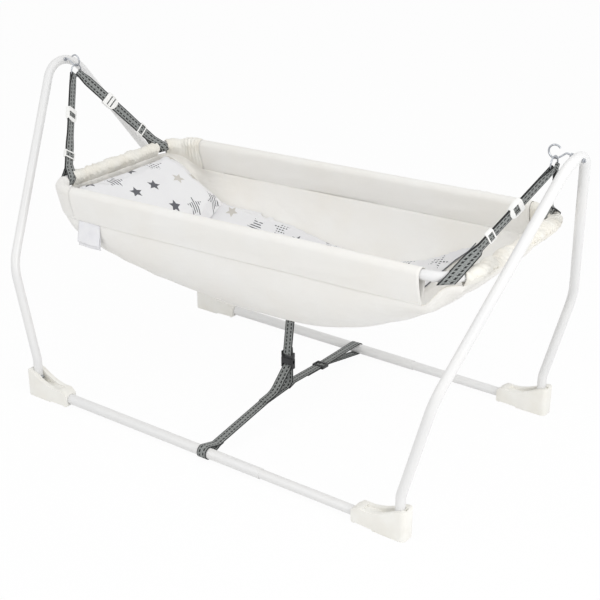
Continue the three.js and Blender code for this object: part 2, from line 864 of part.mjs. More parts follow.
for (const { side, sy } of sides) {
  addPiece(`sleeve_${side}`, longSleeve(), creamCotton, cradle).position.set(0, halfWidth * sy, 0);
}

// The end sleeves are gathered, so their outside ripples along the bow
function endSleeve() {
  const inner = boreRadius(railDiameter, endSleeveSides, sleeveEase);
  const ringAt = (share, radiusAt) => Array.from({ length: endSleeveSides }, (_, k) => {
    const angle = (k / endSleeveSides) * Math.PI * 2;
    const radius = radiusAt(angle);
    const y = (share - 1 / 2) * endSleeveLength;
    return new THREE.Vector3(radius * Math.cos(angle), y, radius * Math.sin(angle));
  });
  const outerRings = Array.from({ length: endSleeveSteps + 1 }, (_, i) => {
    const phase = (i / endSleeveSteps) * ruffleCount * Math.PI * 2;
    const ripple = (angle) => (1 + Math.sin(phase + ruffleSlant * Math.sin(angle))) / 2;
    return ringAt(i / endSleeveSteps, (angle) => inner + sleeveThickness + ruffleDepth * ripple(angle));
  });
  return loftedWall(outerRings, [ringAt(0, () => inner), ringAt(1, () => inner)]);
}

for (const { end, sx } of ends) {
  addPiece(`end_sleeve_${end}`, endSleeve(), creamCotton, cradle).position.set(halfLength * sx, 0, 0);
}

// The hammock's cloth, as a surface over its length (u from -1 to 1) and its section (v from 0 to 1)
function hammockDepth(u) {
  const power = u < 0 ? headEndPower : footEndPower;
  const sharpness = u < 0 ? headEndSharpness : footEndSharpness;
  const fall = Math.max(1 - Math.abs(u) ** power, 0) ** sharpness;
  return endRimDrop + (bellyDepth - endRimDrop) * fall;
}

function rimDrop(u) {
  const past = Math.max(Math.abs(u) * halfLength - sleeveHalf, 0) / (halfLength - sleeveHalf);
  const seat = sleeveDrop + clearance;
  return THREE.MathUtils.lerp(seat, endRimDrop, THREE.MathUtils.smoothstep(past, 0, 1));
}

function halfWidthAt(u) {
  const past = Math.max(Math.abs(u) * halfLength - cornerX, 0);
  return cornerY + Math.sqrt(Math.max(cradleCornerRadius ** 2 - past ** 2, 0));
}

function hammockPoint(u, v) {
  const angle = Math.PI * v;
  const rim = Math.min(rimDrop(u), hammockDepth(u));
  const endPower = u < 0 ? headSectionPower : footSectionPower;
  const power = THREE.MathUtils.lerp(bellySectionPower, endPower, Math.abs(u));
  const drop = rim + (hammockDepth(u) - rim) * Math.sin(angle) ** power;
  return new THREE.Vector3(u * halfLength, -halfWidthAt(u) * Math.cos(angle), -drop);
}

// The inward direction of the cloth at a place, square to its surface
function hammockInward(u, v) {
  const du = 1 / (clothSectionSteps * 8);
  const alongLength = hammockPoint(Math.min(u + du, 1), v).sub(hammockPoint(Math.max(u - du, -1), v));
  const alongSection = hammockPoint(u, Math.min(v + du, 1)).sub(hammockPoint(u, Math.max(v - du, 0)));
  return alongLength.cross(alongSection).normalize();
}

// The folds run down from the gathered ends and fade into the belly
function foldOffset(u, v) {
  const fade = Math.sin(Math.PI * Math.min((1 - Math.abs(u)) / clothFoldReachShare, 1));
  return clothFoldDepth * fade * Math.sin(clothFoldCount * Math.PI * v) * Math.sin(Math.PI * v);
}

function hammockGrid(shares, sideSteps, offsetAt) {
  return shares.map((u) => {
    const count = clothSectionSteps + 1 - sideSteps * 2;
    return Array.from({ length: count }, (_, j) => {
      const v = (j + sideSteps) / clothSectionSteps;
      const offset = offsetAt(u, v) + foldOffset(u, v);
      return hammockPoint(u, v).addScaledVector(hammockInward(u, v), offset);
    });
  });
}

const hammockCloth = sheetSolid(
  hammockGrid(clothStationShares, 0, () => 0),
  hammockGrid(clothStationShares, 0, () => clothThickness),
);
addPiece('hammock_cloth', hammockCloth, creamCotton, cradle);

function sewnTag() {
  const seam = -sleeveDrop - clearance;
  const left = tagPlaceShare * halfLength - tagWidth / 2;
  const right = left + tagWidth;
  const leaf = (outer, inner, length) => block(
    new THREE.Vector3(left, outer, seam - length),
    new THREE.Vector3(right, inner, seam),
  );
  const back = -halfWidth - clearance;
  const front = back - tagThickness * 2 - clearance;
  return join(
    leaf(back - tagThickness, back, tagBackLength),
    leaf(front, front + tagThickness, tagLeafLength),
    leaf(front, back, tagHemLength),
  );
}

addPiece('sewn_tag', sewnTag(), whiteSatin, cradle);

// A pad lies on the cloth between two stations, thinning towards its edges
function padShares(headShare, footShare) {
  return clothStationShares.filter((u) => u >= headShare && u <= footShare);
}

function crown(u, v, headShare, footShare, sideShare) {
  const length = (u - headShare) / (footShare - headShare);
  const width = (v - sideShare) / (1 - sideShare * 2);
  return Math.sqrt(Math.sin(Math.PI * length) * Math.sin(Math.PI * width));
}

const mattressBase = clothThickness + clearance;

function mattressTop(u, v) {
  const rise = crown(u, v, mattressHeadShare, mattressFootShare, mattressSideShare) || 0;
  return mattressBase + THREE.MathUtils.lerp(mattressEdgeThickness, mattressThickness, rise);
}

function pillowBottom(u, v) {
  return mattressTop(u, v) + clearance;
}

const pillowShares = padShares(pillowHeadShare, pillowFootShare);

// The pillow fills the head end up to a plane that slopes down to its foot edge, and rounds off at its rim
function pillowTopGrid() {
  return hammockGrid(pillowShares, pillowSideSteps, pillowBottom).map((row, i) => {
    const u = pillowShares[i];
    const along = (u - pillowHeadShare) / (pillowFootShare - pillowHeadShare);
    return row.map((low, j) => {
      const across = j / (row.length - 1);
      const lengthwise = Math.min(along / pillowHeadRounding, (1 - along) / pillowFootRounding);
      const sideways = Math.min(across, 1 - across) / pillowSideRounding;
      const edge = Math.min(lengthwise, sideways, 1);
      const rounding = Math.sqrt(1 - (1 - edge) ** 2);
      const plane = -THREE.MathUtils.lerp(pillowHeadDrop, pillowFootDrop, along);
      const height = Math.max(plane - low.z - pillowEdgeThickness, 0) * rounding;
      return low.clone().add(new THREE.Vector3(0, 0, pillowEdgeThickness + height));
    });
  });
}

const mattressShares = padShares(mattressHeadShare, mattressFootShare);
const mattressSideSteps = Math.round(mattressSideShare * clothSectionSteps);
const pillowSideSteps = Math.round(pillowSideShare * clothSectionSteps);
addPiece('mattress', sheetSolid(
  hammockGrid(mattressShares, mattressSideSteps, () => mattressBase),
  hammockGrid(mattressShares, mattressSideSteps, mattressTop),
), printedCotton, cradle);
addPiece('pillow', sheetSolid(
  hammockGrid(pillowShares, pillowSideSteps, pillowBottom),
  pillowTopGrid(),
), printedCotton, cradle);

// Hanging straps: a band of webbing through the ring and round the rail, sewn inside its adjuster
function strapRun(sx, sy, angle, twistShare) {
  const hang = Math.PI / 2 - ringStrapAngle;
  const start = new THREE.Vector3(hookBowlX * sx, ringRadius * Math.cos(hang) * sy, ringHeight);
  start.z -= ringRadius * Math.sin(hang);
  const corner = new THREE.Vector3(
    (cornerX + cradleCornerRadius * Math.cos(angle)) * sx,
    (cornerY + cradleCornerRadius * Math.sin(angle)) * sy,
    0,
  );
  const end = corner.applyMatrix4(cradle.matrix);
  const railRun = new THREE.Vector3(-Math.sin(angle) * sx, Math.cos(angle) * sy, 0);
  railRun.transformDirection(cradle.matrix);
  const ringRun = new THREE.Vector3(0, Math.sin(hang) * sy, Math.cos(hang));
  const down = direction(start, end);
  const square = (vector) => vector.clone().addScaledVector(down, -vector.dot(down)).normalize();
  const ringAcross = square(ringRun);
  const railAcross = square(railRun);
  if (ringAcross.dot(railAcross) < 0) ringAcross.negate();
  const twist = Math.atan2(ringAcross.clone().cross(railAcross).dot(down), ringAcross.dot(railAcross));
  if (railRun.dot(railAcross) < 0) railRun.negate();
  const length = start.distanceTo(end);
  const twistStart = twistShare * length - twistLength / 2;
  return { start, end, down, railRun, ringAcross, railAcross, twist, twistStart, length };
}

function strapAcross(run, distance) {
  const turned = THREE.MathUtils.smoothstep(distance, run.twistStart, run.twistStart + twistLength);
  return run.ringAcross.clone().applyAxisAngle(run.down, run.twist * turned);
}

const railWrapRadius = railDiameter / 2 + railWrapSlack + webbingThickness / 2;

function plyStation(run, distance, sign) {
  const gather = THREE.MathUtils.smoothstep(distance, 0, gatherLength);
  const half = plyGap / 2;
  const spread = half + (ringWrapRadius - half) * (1 - gather);
  const across = strapAcross(run, distance);
  const face = across.clone().cross(run.down).multiplyScalar(spread * sign);
  const point = run.start.clone().addScaledVector(run.down, distance).add(face);
  return { point, across, width: THREE.MathUtils.lerp(gatheredWidth, webbingWidth, gather) };
}

function ringWrapStation(run, angle) {
  const face = run.ringAcross.clone().cross(run.down);
  const point = run.start.clone()
    .addScaledVector(face, ringWrapRadius * Math.cos(angle))
    .addScaledVector(run.down, -ringWrapRise - ringWrapRadius * Math.sin(angle));
  return { point, across: run.ringAcross, width: gatheredWidth };
}

// The loop lies square round the rail, and the plies turn from it into the strap's own line
function railLoop(run) {
  const rise = run.down.clone().negate();
  rise.addScaledVector(run.railRun, -rise.dot(run.railRun)).normalize();
  return { rise, face: rise.clone().cross(run.railRun) };
}

function railWrapStation(run, angle) {
  const { rise, face } = railLoop(run);
  const point = run.end.clone()
    .addScaledVector(face, -railWrapRadius * Math.cos(angle))
    .addScaledVector(rise, -railWrapRadius * Math.sin(angle));
  return { point, across: run.railRun, width: webbingWidth };
}

function joinStation(run, share, sign) {
  const { rise, face } = railLoop(run);
  const low = run.end.clone().addScaledVector(face, railWrapRadius * sign);
  const high = plyStation(run, run.length - joinLength, sign).point;
  const bend = new THREE.CubicBezierCurve3(
    high,
    high.clone().addScaledVector(run.down, joinStrapReach),
    low.clone().addScaledVector(rise, joinRiseReach),
    low,
  );
  const path = bend.getTangent(share);
  const across = run.railAcross.clone().lerp(run.railRun, THREE.MathUtils.smoothstep(share, 0, 1));
  across.addScaledVector(path, -across.dot(path)).normalize();
  return { point: bend.getPoint(share), across, width: webbingWidth };
}

function spaced(from, to, steps) {
  return Array.from({ length: steps + 1 }, (_, i) => THREE.MathUtils.lerp(from, to, i / steps));
}

function hangingStrap(run, seam) {
  const down = [
    ...spaced(0, gatherLength, gatherSteps),
    ...spaced(run.twistStart, run.twistStart + twistLength, twistSteps),
  ];
  const above = down.filter((distance) => distance < seam);
  const below = down.filter((distance) => distance > seam);
  const stations = [
    plyStation(run, seam - seamGap, 1),
    ...above.reverse().map((distance) => plyStation(run, distance, 1)),
    ...spaced(0, Math.PI, ringWrapSteps).map((angle) => ringWrapStation(run, angle)),
    ...down.map((distance) => plyStation(run, distance, -1)),
    ...spaced(0, 1, joinSteps).map((share) => joinStation(run, share, -1)),
    ...spaced(0, Math.PI, railWrapSteps).slice(1, -1).map((angle) => railWrapStation(run, angle)),
    ...spaced(1, 0, joinSteps).map((share) => joinStation(run, share, 1)),
    ...below.reverse().map((distance) => plyStation(run, distance, 1)),
    plyStation(run, seam + seamGap, 1),
  ];
  return webbing(withThroughs(stations));
}

// White strap hardware, drawn with the strap along Y and its width along X
const slotWidth = webbingWidth + hardwareEase * 2;
const slotThickness = webbingThickness + plyGap + hardwareEase * 2;

function strapSlot(length) {
  return new THREE.BoxGeometry(slotWidth, length + cutOverrun * 2, slotThickness);
}

function adjuster() {
  const half = adjusterWidth / 2;
  const top = adjusterLength / 2;
  const round = adjusterCornerRadius;
  const shape = new THREE.Shape();
  shape.moveTo(half - round, top);
  shape.quadraticCurveTo(half, top, half, top - round);
  shape.lineTo(half, -top + half);
  shape.quadraticCurveTo(half, -top, 0, -top);
  shape.quadraticCurveTo(-half, -top, -half, -top + half);
  shape.lineTo(-half, top - round);
  shape.quadraticCurveTo(-half, top, -half + round, top);
  const flat = { bevelEnabled: false, curveSegments: 4, depth: adjusterThickness };
  const body = new THREE.ExtrudeGeometry(shape, flat).translate(0, 0, -adjusterThickness / 2);
  const window = new THREE.BoxGeometry(slotWidth, adjusterWindowLength, adjusterThickness + cutOverrun * 2);
  return cut(body, strapSlot(adjusterLength), window);
}

function keeper() {
  const body = new THREE.BoxGeometry(keeperWidth, keeperLength, keeperThickness);
  const windowLength = keeperLength - keeperBarLength * 2;
  const window = new THREE.BoxGeometry(slotWidth, windowLength, keeperThickness + cutOverrun * 2);
  return cut(body, strapSlot(keeperLength), window);
}

function placeOnStrap(mesh, run, distance) {
  const across = strapAcross(run, distance);
  const up = run.down.clone().negate();
  const face = across.clone().cross(up);
  mesh.quaternion.setFromRotationMatrix(new THREE.Matrix4().makeBasis(across, up, face));
  mesh.position.copy(run.start).addScaledVector(run.down, distance);
}

const cornerAngles = { left: headStrapAngle, right: footStrapAngle };

for (const { end, sx } of ends) {
  for (const { side, sy } of sides) {
    const place = `${end}_${side}`;
    const run = strapRun(sx, sy, cornerAngles[end], twistShares[end]);
    const seam = adjusterShares[place] * run.length;
    addPiece(`hanging_strap_${place}`, hangingStrap(run, seam), greyWebbing);
    placeOnStrap(addPiece(`strap_adjuster_${place}`, adjuster(), whitePlastic), run, seam);
    const keeperPlace = keeperShares[place] * run.length;
    placeOnStrap(addPiece(`strap_keeper_${place}`, keeper(), whitePlastic), run, keeperPlace);
  }
}

// Brake strap, drawn in the plane x = 0 as points over Y and Z
function arcPoints(centre, radius, from, to, steps) {
  return spaced(from, to, steps).map((angle) => new THREE.Vector2(
    centre.x + radius * Math.cos(angle),
    centre.y + radius * Math.sin(angle),
  ));
}

// A path from one point round a bar to another, tangent to the bar at both ends
function aroundBar(start, centre, radius, end, turn, steps) {
  const touch = (point, sign) => {
    const arm = point.clone().sub(centre);
    return arm.angle() + sign * Math.acos(radius / arm.length());
  };
  const from = touch(start, turn);
  const sweepAngle = THREE.MathUtils.euclideanModulo((touch(end, -turn) - from) * turn, Math.PI * 2);
  return [start, ...arcPoints(centre, radius, from, from + sweepAngle * turn, steps), end];
}

function planeStrap(points) {
  return webbing(withThroughs(points.map(({ x, y }) => ({ point: new THREE.Vector3(0, x, y), across: alongX }))));
}

// A path over plane points whose inner corners are rounded
function roundedPath(points, radii, steps) {
  const corners = points.map(({ x, y }) => new THREE.Vector3(0, x, y));
  return roundedStations(corners, radii, steps).map(({ point }) => new THREE.Vector2(point.y, point.z));
}

const brakeWrapRadius = baseTubeDiameter / 2 + brakeTubeEase + webbingThickness / 2;
const baseTubeCentre = new THREE.Vector2(-uprightY, baseTubeHeight);
const brake = new THREE.Group();
brake.position.x = brakeShift;
model.add(brake);

// The buckle: a socket on the front strap and a plug on the upper one
const socketTop = socketBottom + socketLength;
const plugBottom = socketTop + plugGap;
const plugTop = plugBottom + plugShoulderLength;
const socketBarHeight = socketBottom + buckleBarInset;
const plugBarHeight = plugTop - buckleBarInset;
const barWrapRadius = buckleBarRadius + sleeveEase + webbingThickness / 2;

// The front strap loops round its base tube, runs to the junction, rises through the buckle's
// socket and comes back over itself to the seam
function frontStrapPoints() {
  const meet = new THREE.Vector2(-frontMeetReach, frontMeetHeight);
  const slope = new THREE.Vector2(-brakeSlopeReach, brakeSlopeHeight);
  const run = slope.clone().sub(meet).normalize();
  const half = new THREE.Vector2(-run.y, run.x).multiplyScalar(plyGap / 2);
  const tail = new THREE.Vector2(-frontTailReach, meet.y + (frontMeetReach - frontTailReach) * (run.y / run.x));
  const loop = aroundBar(meet.clone().sub(half), baseTubeCentre, brakeWrapRadius, meet.clone().add(half), -1, brakeWrapSteps);
  const riseCentre = new THREE.Vector2(barWrapRadius - brakeRiseRadius, brakeJunctionHeight + brakeRiseRadius);
  const rise = arcPoints(riseCentre, brakeRiseRadius, -Math.PI / 2, 0, brakeRiseSteps);
  const bar = new THREE.Vector2(0, socketBarHeight);
  const curve = new THREE.Vector2(-brakeCurveReach, brakeCurveHeight);
  const over = aroundBar(rise[brakeRiseSteps], bar, barWrapRadius, curve, 1, buckleBarSteps).slice(1, -1);
  const sewn = new THREE.Vector2(-brakeSewnReach, brakeSlopeHeight + sewnPlySpacing);
  const back = roundedPath([over[buckleBarSteps], curve, sewn], [brakeCurveRadius], [brakeCurveSteps]);
  return [tail.sub(half), ...loop, slope, ...rise, ...over, ...back.slice(1)];
}

// The back strap is sewn under the junction, loops round its base tube and comes back under itself
// to a tail; it is drawn towards -Y and turned round
const backBend = new THREE.Vector2(-backBendReach, backBendHeight);
const backPeak = new THREE.Vector2(-backPeakReach, backPeakHeight);
const backRun = backPeak.clone().sub(backBend).normalize();

function backStrapPoints() {
  const start = new THREE.Vector2(backStartReach, brakeJunctionHeight - sewnPlySpacing);
  const under = new THREE.Vector2(backRun.y, -backRun.x).multiplyScalar(plyGap);
  const meet = backBend.clone().add(under);
  const loop = aroundBar(backBend, baseTubeCentre, brakeWrapRadius, meet, 1, brakeWrapSteps);
  const tail = meet.clone().addScaledVector(backRun, backBendReach - backTailReach);
  return [start, backPeak, ...loop, tail];
}

addPiece('brake_strap_front', planeStrap(frontStrapPoints()), greyWebbing, brake).rotation.z = brakeFrontTurn;
const backBrake = new THREE.Group();
backBrake.rotation.z = Math.PI + brakeBackTurn;
brake.add(backBrake);
addPiece('brake_strap_back', planeStrap(backStrapPoints()), greyWebbing, backBrake);

function ladderLock() {
  const body = new THREE.BoxGeometry(ladderLockWidth, ladderLockLength, ladderLockThickness);
  const window = new THREE.BoxGeometry(slotWidth, ladderLockLength / 2, ladderLockThickness + cutOverrun * 2);
  return cut(body, strapSlot(ladderLockLength), window);
}

const lockCentre = backBend.clone().addScaledVector(backRun, backBendReach - ladderLockReach);
lockCentre.addScaledVector(new THREE.Vector2(backRun.y, -backRun.x), plyGap / 2);
const lock = addPiece('brake_ladder_lock', ladderLock(), blackPlastic, backBrake);
lock.position.set(0, lockCentre.x, lockCentre.y);
lock.rotation.x = backRun.angle();

function centredBlock(width, depth, bottom, top) {
  return block(
    new THREE.Vector3(-width / 2, -depth / 2, bottom),
    new THREE.Vector3(width / 2, depth / 2, top),
  );
}

function buckleBar(height) {
  const reach = buckleWidth / 2 - buckleWall / 2;
  return rod(new THREE.Vector3(-reach, 0, height), new THREE.Vector3(reach, 0, height), buckleBarRadius, boltSides);
}

function buckleSocket() {
  const body = centredBlock(buckleWidth, buckleThickness, socketBottom, socketTop);
  const deep = buckleThickness + cutOverrun * 2;
  const windowTop = socketBottom + buckleWindowLength;
  const strapWindow = centredBlock(slotWidth, deep, socketBottom - cutOverrun, windowTop);
  const cavityWidth = buckleWidth - buckleWall * 2;
  const cavityDepth = buckleThickness - buckleWall * 2;
  const cavity = centredBlock(cavityWidth, cavityDepth, windowTop + buckleWall, socketTop + cutOverrun);
  const sideTop = socketTop - socketSideWindowDrop;
  const wide = buckleWidth + cutOverrun * 2;
  const sideWindow = centredBlock(wide, cavityDepth, sideTop - socketSideWindowLength, sideTop);
  return join(cut(body, strapWindow, cavity, sideWindow), buckleBar(socketBarHeight));
}

function bucklePlug() {
  const body = centredBlock(buckleWidth, buckleThickness, plugBottom, plugTop);
  const deep = buckleThickness + cutOverrun * 2;
  const strapWindow = centredBlock(slotWidth, deep, plugTop - buckleWindowLength, plugTop + cutOverrun);
  const tongueEnd = plugBottom - plugTongueLength;
  const rooted = plugBottom + buckleWall;
  const tongue = centredBlock(plugTongueWidth, plugTongueThickness, tongueEnd, rooted);
  const prongX = buckleWidth / 2 - buckleWall - plugGap - plugProngWidth / 2;
  const prongs = endShares.map((share) => centredBlock(plugProngWidth, plugTongueThickness, tongueEnd, rooted)
    .translate(prongX * share, 0, 0));
  return join(cut(body, strapWindow), buckleBar(plugBarHeight), tongue, ...prongs);
}

addPiece('brake_buckle_socket', buckleSocket(), blackPlastic, brake);
addPiece('brake_buckle_plug', bucklePlug(), blackPlastic, brake);

// The upper strap hangs from the belly and loops through the plug, leaning towards the middle
function upperStrap() {
  const lean = Math.tan(upperStrapLean);
  const sewnX = brakeShift + (cradleHeight - bellyDepth - plugBarHeight) * lean;
  const belly = hammockPoint((sewnX - cradleShift) / halfLength, 1 / 2).applyMatrix4(cradle.matrix);
  const flapHeight = belly.z - bellyFlapGap - webbingThickness / 2;
  const bar = new THREE.Vector2(0, plugBarHeight);
  const bendCentre = new THREE.Vector2(bellyFlapRadius - barWrapRadius, flapHeight - bellyFlapRadius);
  const bend = arcPoints(bendCentre, bellyFlapRadius, Math.PI, Math.PI / 2, bellyFlapSteps);
  const tail = new THREE.Vector2(plyGap - barWrapRadius, plugBarHeight + buckleReturnLength);
  const loop = aroundBar(tail, bar, barWrapRadius, bend[0], -1, buckleBarSteps);
  const points = [...loop, ...bend.slice(1), new THREE.Vector2(bendCentre.x + bellyFlapLength, flapHeight)];
  return webbing(withThroughs(points.map(({ x, y }) => {
    const shift = Math.max(y - plugBarHeight, 0) * lean;
    return { point: new THREE.Vector3(shift, x, y), across: alongX };
  })));
}

addPiece('brake_strap_upper', upperStrap(), greyWebbing, brake);

export default model;
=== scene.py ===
"""Looks of a hanging baby cradle: enamelled tube stand, cotton hammock, webbing straps and their fittings."""

import json
import logging
from dataclasses import dataclass, field
from enum import Enum
from math import acos, asin, atan2, cos, exp, hypot, pi, radians, sin, sqrt, tan, tau
from typing import Callable, Iterable, Sequence

import bmesh
import bpy
import numpy as np
from bmesh.types import BMesh
from bpy.types import Material, Node, NodeSocket, NodeTree, Object
from mathutils import Matrix, Vector, noise

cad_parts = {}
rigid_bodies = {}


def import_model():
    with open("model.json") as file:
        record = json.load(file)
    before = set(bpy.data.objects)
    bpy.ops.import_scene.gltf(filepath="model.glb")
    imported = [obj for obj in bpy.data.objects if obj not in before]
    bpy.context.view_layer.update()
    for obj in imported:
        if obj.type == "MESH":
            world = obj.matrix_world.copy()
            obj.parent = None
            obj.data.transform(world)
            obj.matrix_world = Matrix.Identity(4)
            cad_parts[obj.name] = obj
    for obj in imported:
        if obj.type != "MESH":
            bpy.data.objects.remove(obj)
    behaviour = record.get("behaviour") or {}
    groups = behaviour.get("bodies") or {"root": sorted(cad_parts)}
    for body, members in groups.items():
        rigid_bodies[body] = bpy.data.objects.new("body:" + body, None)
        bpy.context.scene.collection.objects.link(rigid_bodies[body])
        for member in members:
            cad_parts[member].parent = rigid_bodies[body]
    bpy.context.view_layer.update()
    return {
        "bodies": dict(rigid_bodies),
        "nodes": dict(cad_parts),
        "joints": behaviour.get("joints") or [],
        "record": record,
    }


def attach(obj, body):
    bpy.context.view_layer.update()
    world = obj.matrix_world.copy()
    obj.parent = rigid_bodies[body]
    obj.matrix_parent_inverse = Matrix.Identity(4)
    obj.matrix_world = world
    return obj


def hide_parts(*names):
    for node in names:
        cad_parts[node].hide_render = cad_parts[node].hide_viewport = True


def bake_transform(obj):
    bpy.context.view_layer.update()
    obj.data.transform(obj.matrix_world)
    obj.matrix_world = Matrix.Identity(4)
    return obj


LOG = logging.getLogger("cradle")
MM = 0.001
X_AXIS = Vector((1, 0, 0))
Z_AXIS = Vector((0, 0, 1))
CLOTH_MAP = "cloth"


class Side(Enum):
    """The front and the back of the cradle, as seen from the floor's front edge."""

    FRONT = -1
    BACK = 1


class End(Enum):
    """The head end at the left and the foot end at the right."""

    LEFT = -1
    RIGHT = 1


def word(option: Enum) -> str:
    """The name that the CAD nodes use for a side or an end."""
    return option.name.lower()


def lerp(start: float, end: float, share: float) -> float:
    """A value between two others."""
    return start + (end - start) * share


def clamp(value: float, low: float = 0.0, high: float = 1.0) -> float:
    """The value, kept between two limits."""
    return min(max(value, low), high)


def smooth(value: float, low: float, high: float) -> float:
    """An eased share of the way from low to high, from 0 to 1."""
    share = clamp((value - low) / (high - low))
    return share * share * (3 - 2 * share)


def ripple(x: float, y: float, z: float) -> float:
    """Smooth noise from about -1 to 1 at a place."""
    return noise.noise(Vector((x, y, z)))


def spaced(start: float, end: float, steps: int) -> list[float]:
    """Evenly spaced values, both ends included."""
    return [lerp(start, end, i / steps) for i in range(steps + 1)]


# Finishes


def linear(value: str) -> tuple[float, float, float, float]:
    """Turns an sRGB hex colour into Blender's linear colour.

    Args:
        value: Six hex digits.

    Returns:
        Red, green, blue and an alpha of one.
    """
    channels = [int(value[i:i + 2], 16) / 255 for i in (0, 2, 4)]
    red, green, blue = [c / 12.92 if c <= 0.04045 else ((c + 0.055) / 1.055) ** 2.4 for c in channels]
    return red, green, blue, 1.0


def outlet(value: object) -> object:
    """The first live output of a node, or the value itself."""
    if isinstance(value, Node):
        return next(socket for socket in value.outputs if socket.enabled)
    return value


def node(tree: NodeTree, kind: str, inputs: dict | None = None, **settings: object) -> Node:
    """Adds a node with its settings, and gives each input a value or a link.

    Args:
        tree: The node tree that takes the node.
        kind: The node's type after ShaderNode.
        inputs: Input names, or places among the live inputs, with values, sockets or nodes.
        **settings: The node's own properties.

    Returns:
        The new node.
    """
    made = tree.nodes.new("ShaderNode" + kind)
    for key, value in settings.items():
        setattr(made, key, value)
    live = [socket for socket in made.inputs if socket.enabled]
    for key, value in (inputs or {}).items():
        socket = live[key] if isinstance(key, int) else made.inputs[key]
        source = outlet(value)
        if isinstance(source, NodeSocket):
            tree.links.new(source, socket)
        else:
            socket.default_value = source
    return made


def compute(tree: NodeTree, known: dict[str, object], steps: Iterable[tuple]) -> None:
    """Adds a sum to a node tree, one node for each of its steps.

    Args:
        tree: The node tree.
        known: The values that the steps may name, which takes up each result under its own name.
        steps: The name of each result, the kind of its node, its operation and its inputs.
    """
    for name, kind, operation, *inputs in steps:
        values = {place: known[value] if isinstance(value, str) else value for place, value in enumerate(inputs)}
        known[name] = node(tree, kind, values, operation=operation)


@dataclass(frozen=True)
class Finish:
    """A surface as its maker would name it, with the shader values that it starts from."""

    title: str
    colour: str
    roughness: float
    metallic: float = 0.0
    coat: float = 0.0
    coat_roughness: float = 0.1
    sheen: float = 0.0
    sheen_roughness: float = 0.5
    shade: str = "ffffff"
    shade_mm: float = 90.0
    shade_share: float = 0.5

    def build(self) -> Material:
        """Makes the material, with what the finish paints into its shader."""
        material = bpy.data.materials.new(self.title)
        material.use_nodes = True
        material.diffuse_color = linear(self.colour)
        tree = material.node_tree
        tree.nodes.clear()
        shader = node(tree, "BsdfPrincipled", {
            "Base Color": linear(self.colour), "Roughness": self.roughness, "Metallic": self.metallic,
            "Coat Weight": self.coat, "Coat Roughness": self.coat_roughness,
            "Sheen Weight": self.sheen, "Sheen Roughness": self.sheen_roughness, **self.paint(tree),
        })
        node(tree, "OutputMaterial", {"Surface": shader})
        return material

    def paint(self, tree: NodeTree) -> dict[str, object]:
        """The shader's inputs that the finish draws."""
        return {}

    def vary(self, tree: NodeTree) -> Node:
        """The colour, with the second colour in soft patches over the piece, which on the cream cottons are painted
        wrinkle shade.
        """
        place = node(tree, "TexCoord").outputs["Object"]
        cloud = node(tree, "TexNoise", {"Vector": place, "Scale": 1000 / self.shade_mm, "Detail": 3.0})
        amount = node(tree, "MapRange", {0: cloud, 1: 0.35, 2: 0.7, 3: 0.0, 4: self.shade_share})
        return node(tree, "Mix", {0: amount, 1: linear(self.colour), 2: linear(self.shade)}, data_type="RGBA")


@dataclass(frozen=True)
class HardFinish(Finish):
    """A hard surface with a fine grain and an uneven gloss."""

    grain_mm: float = 3.0
    grain_detail: float = 1.0
    grain_strength: float = 0.06
    grain_depth_mm: float = 0.2
    wear_mm: float = 40.0
    wear_detail: float = 4.0
    wear_rise: float = 0.1

    def paint(self, tree: NodeTree) -> dict[str, object]:
        """The clouded colour, the grain's relief and the uneven gloss."""
        place = node(tree, "TexCoord").outputs["Object"]
        grain, wear = (
            node(tree, "TexNoise", {"Vector": place, "Scale": 1000 / size_mm, "Detail": detail})
            for size_mm, detail in ((self.grain_mm, self.grain_detail), (self.wear_mm, self.wear_detail)))
        return {
            "Base Color": self.vary(tree),
            "Normal": node(tree, "Bump", {
                "Strength": self.grain_strength, "Distance": self.grain_depth_mm * MM, "Height": grain}),
            "Roughness": node(tree, "MapRange", {
                0: wear, 1: 0.3, 2: 0.7, 3: self.roughness, 4: self.roughness + self.wear_rise}),
        }


@dataclass(frozen=True)
class PowderCoat(HardFinish):
    """Baked powder enamel on steel tube: a soft gloss with a faint orange peel of about 3 mm."""

    shade: str = "e9e8e6"


@dataclass(frozen=True)
class MouldedPlastic(HardFinish):
    """Injection moulded plastic: a spark-eroded grain of about half a millimetre, drawn at 1.2 mm to show."""

    shade: str = "e6e2d8"
    shade_mm: float = 45.0
    shade_share: float = 0.45
    grain_mm: float = 1.2
    grain_detail: float = 2.0
    grain_strength: float = 0.12
    grain_depth_mm: float = 0.15
    wear_mm: float = 18.0
    wear_detail: float = 3.0
    wear_rise: float = 0.12


@dataclass(frozen=True)
class ZincPlate(HardFinish):
    """Zinc plated steel wire and nuts: a bright, clouded metal."""

    shade: str = "8f9297"
    shade_mm: float = 6.0
    shade_share: float = 0.6
    grain_detail: float = 4.0
    grain_strength: float = 0.1
    grain_depth_mm: float = 0.1
    wear_mm: float = 3.0
    wear_rise: float = 0.18


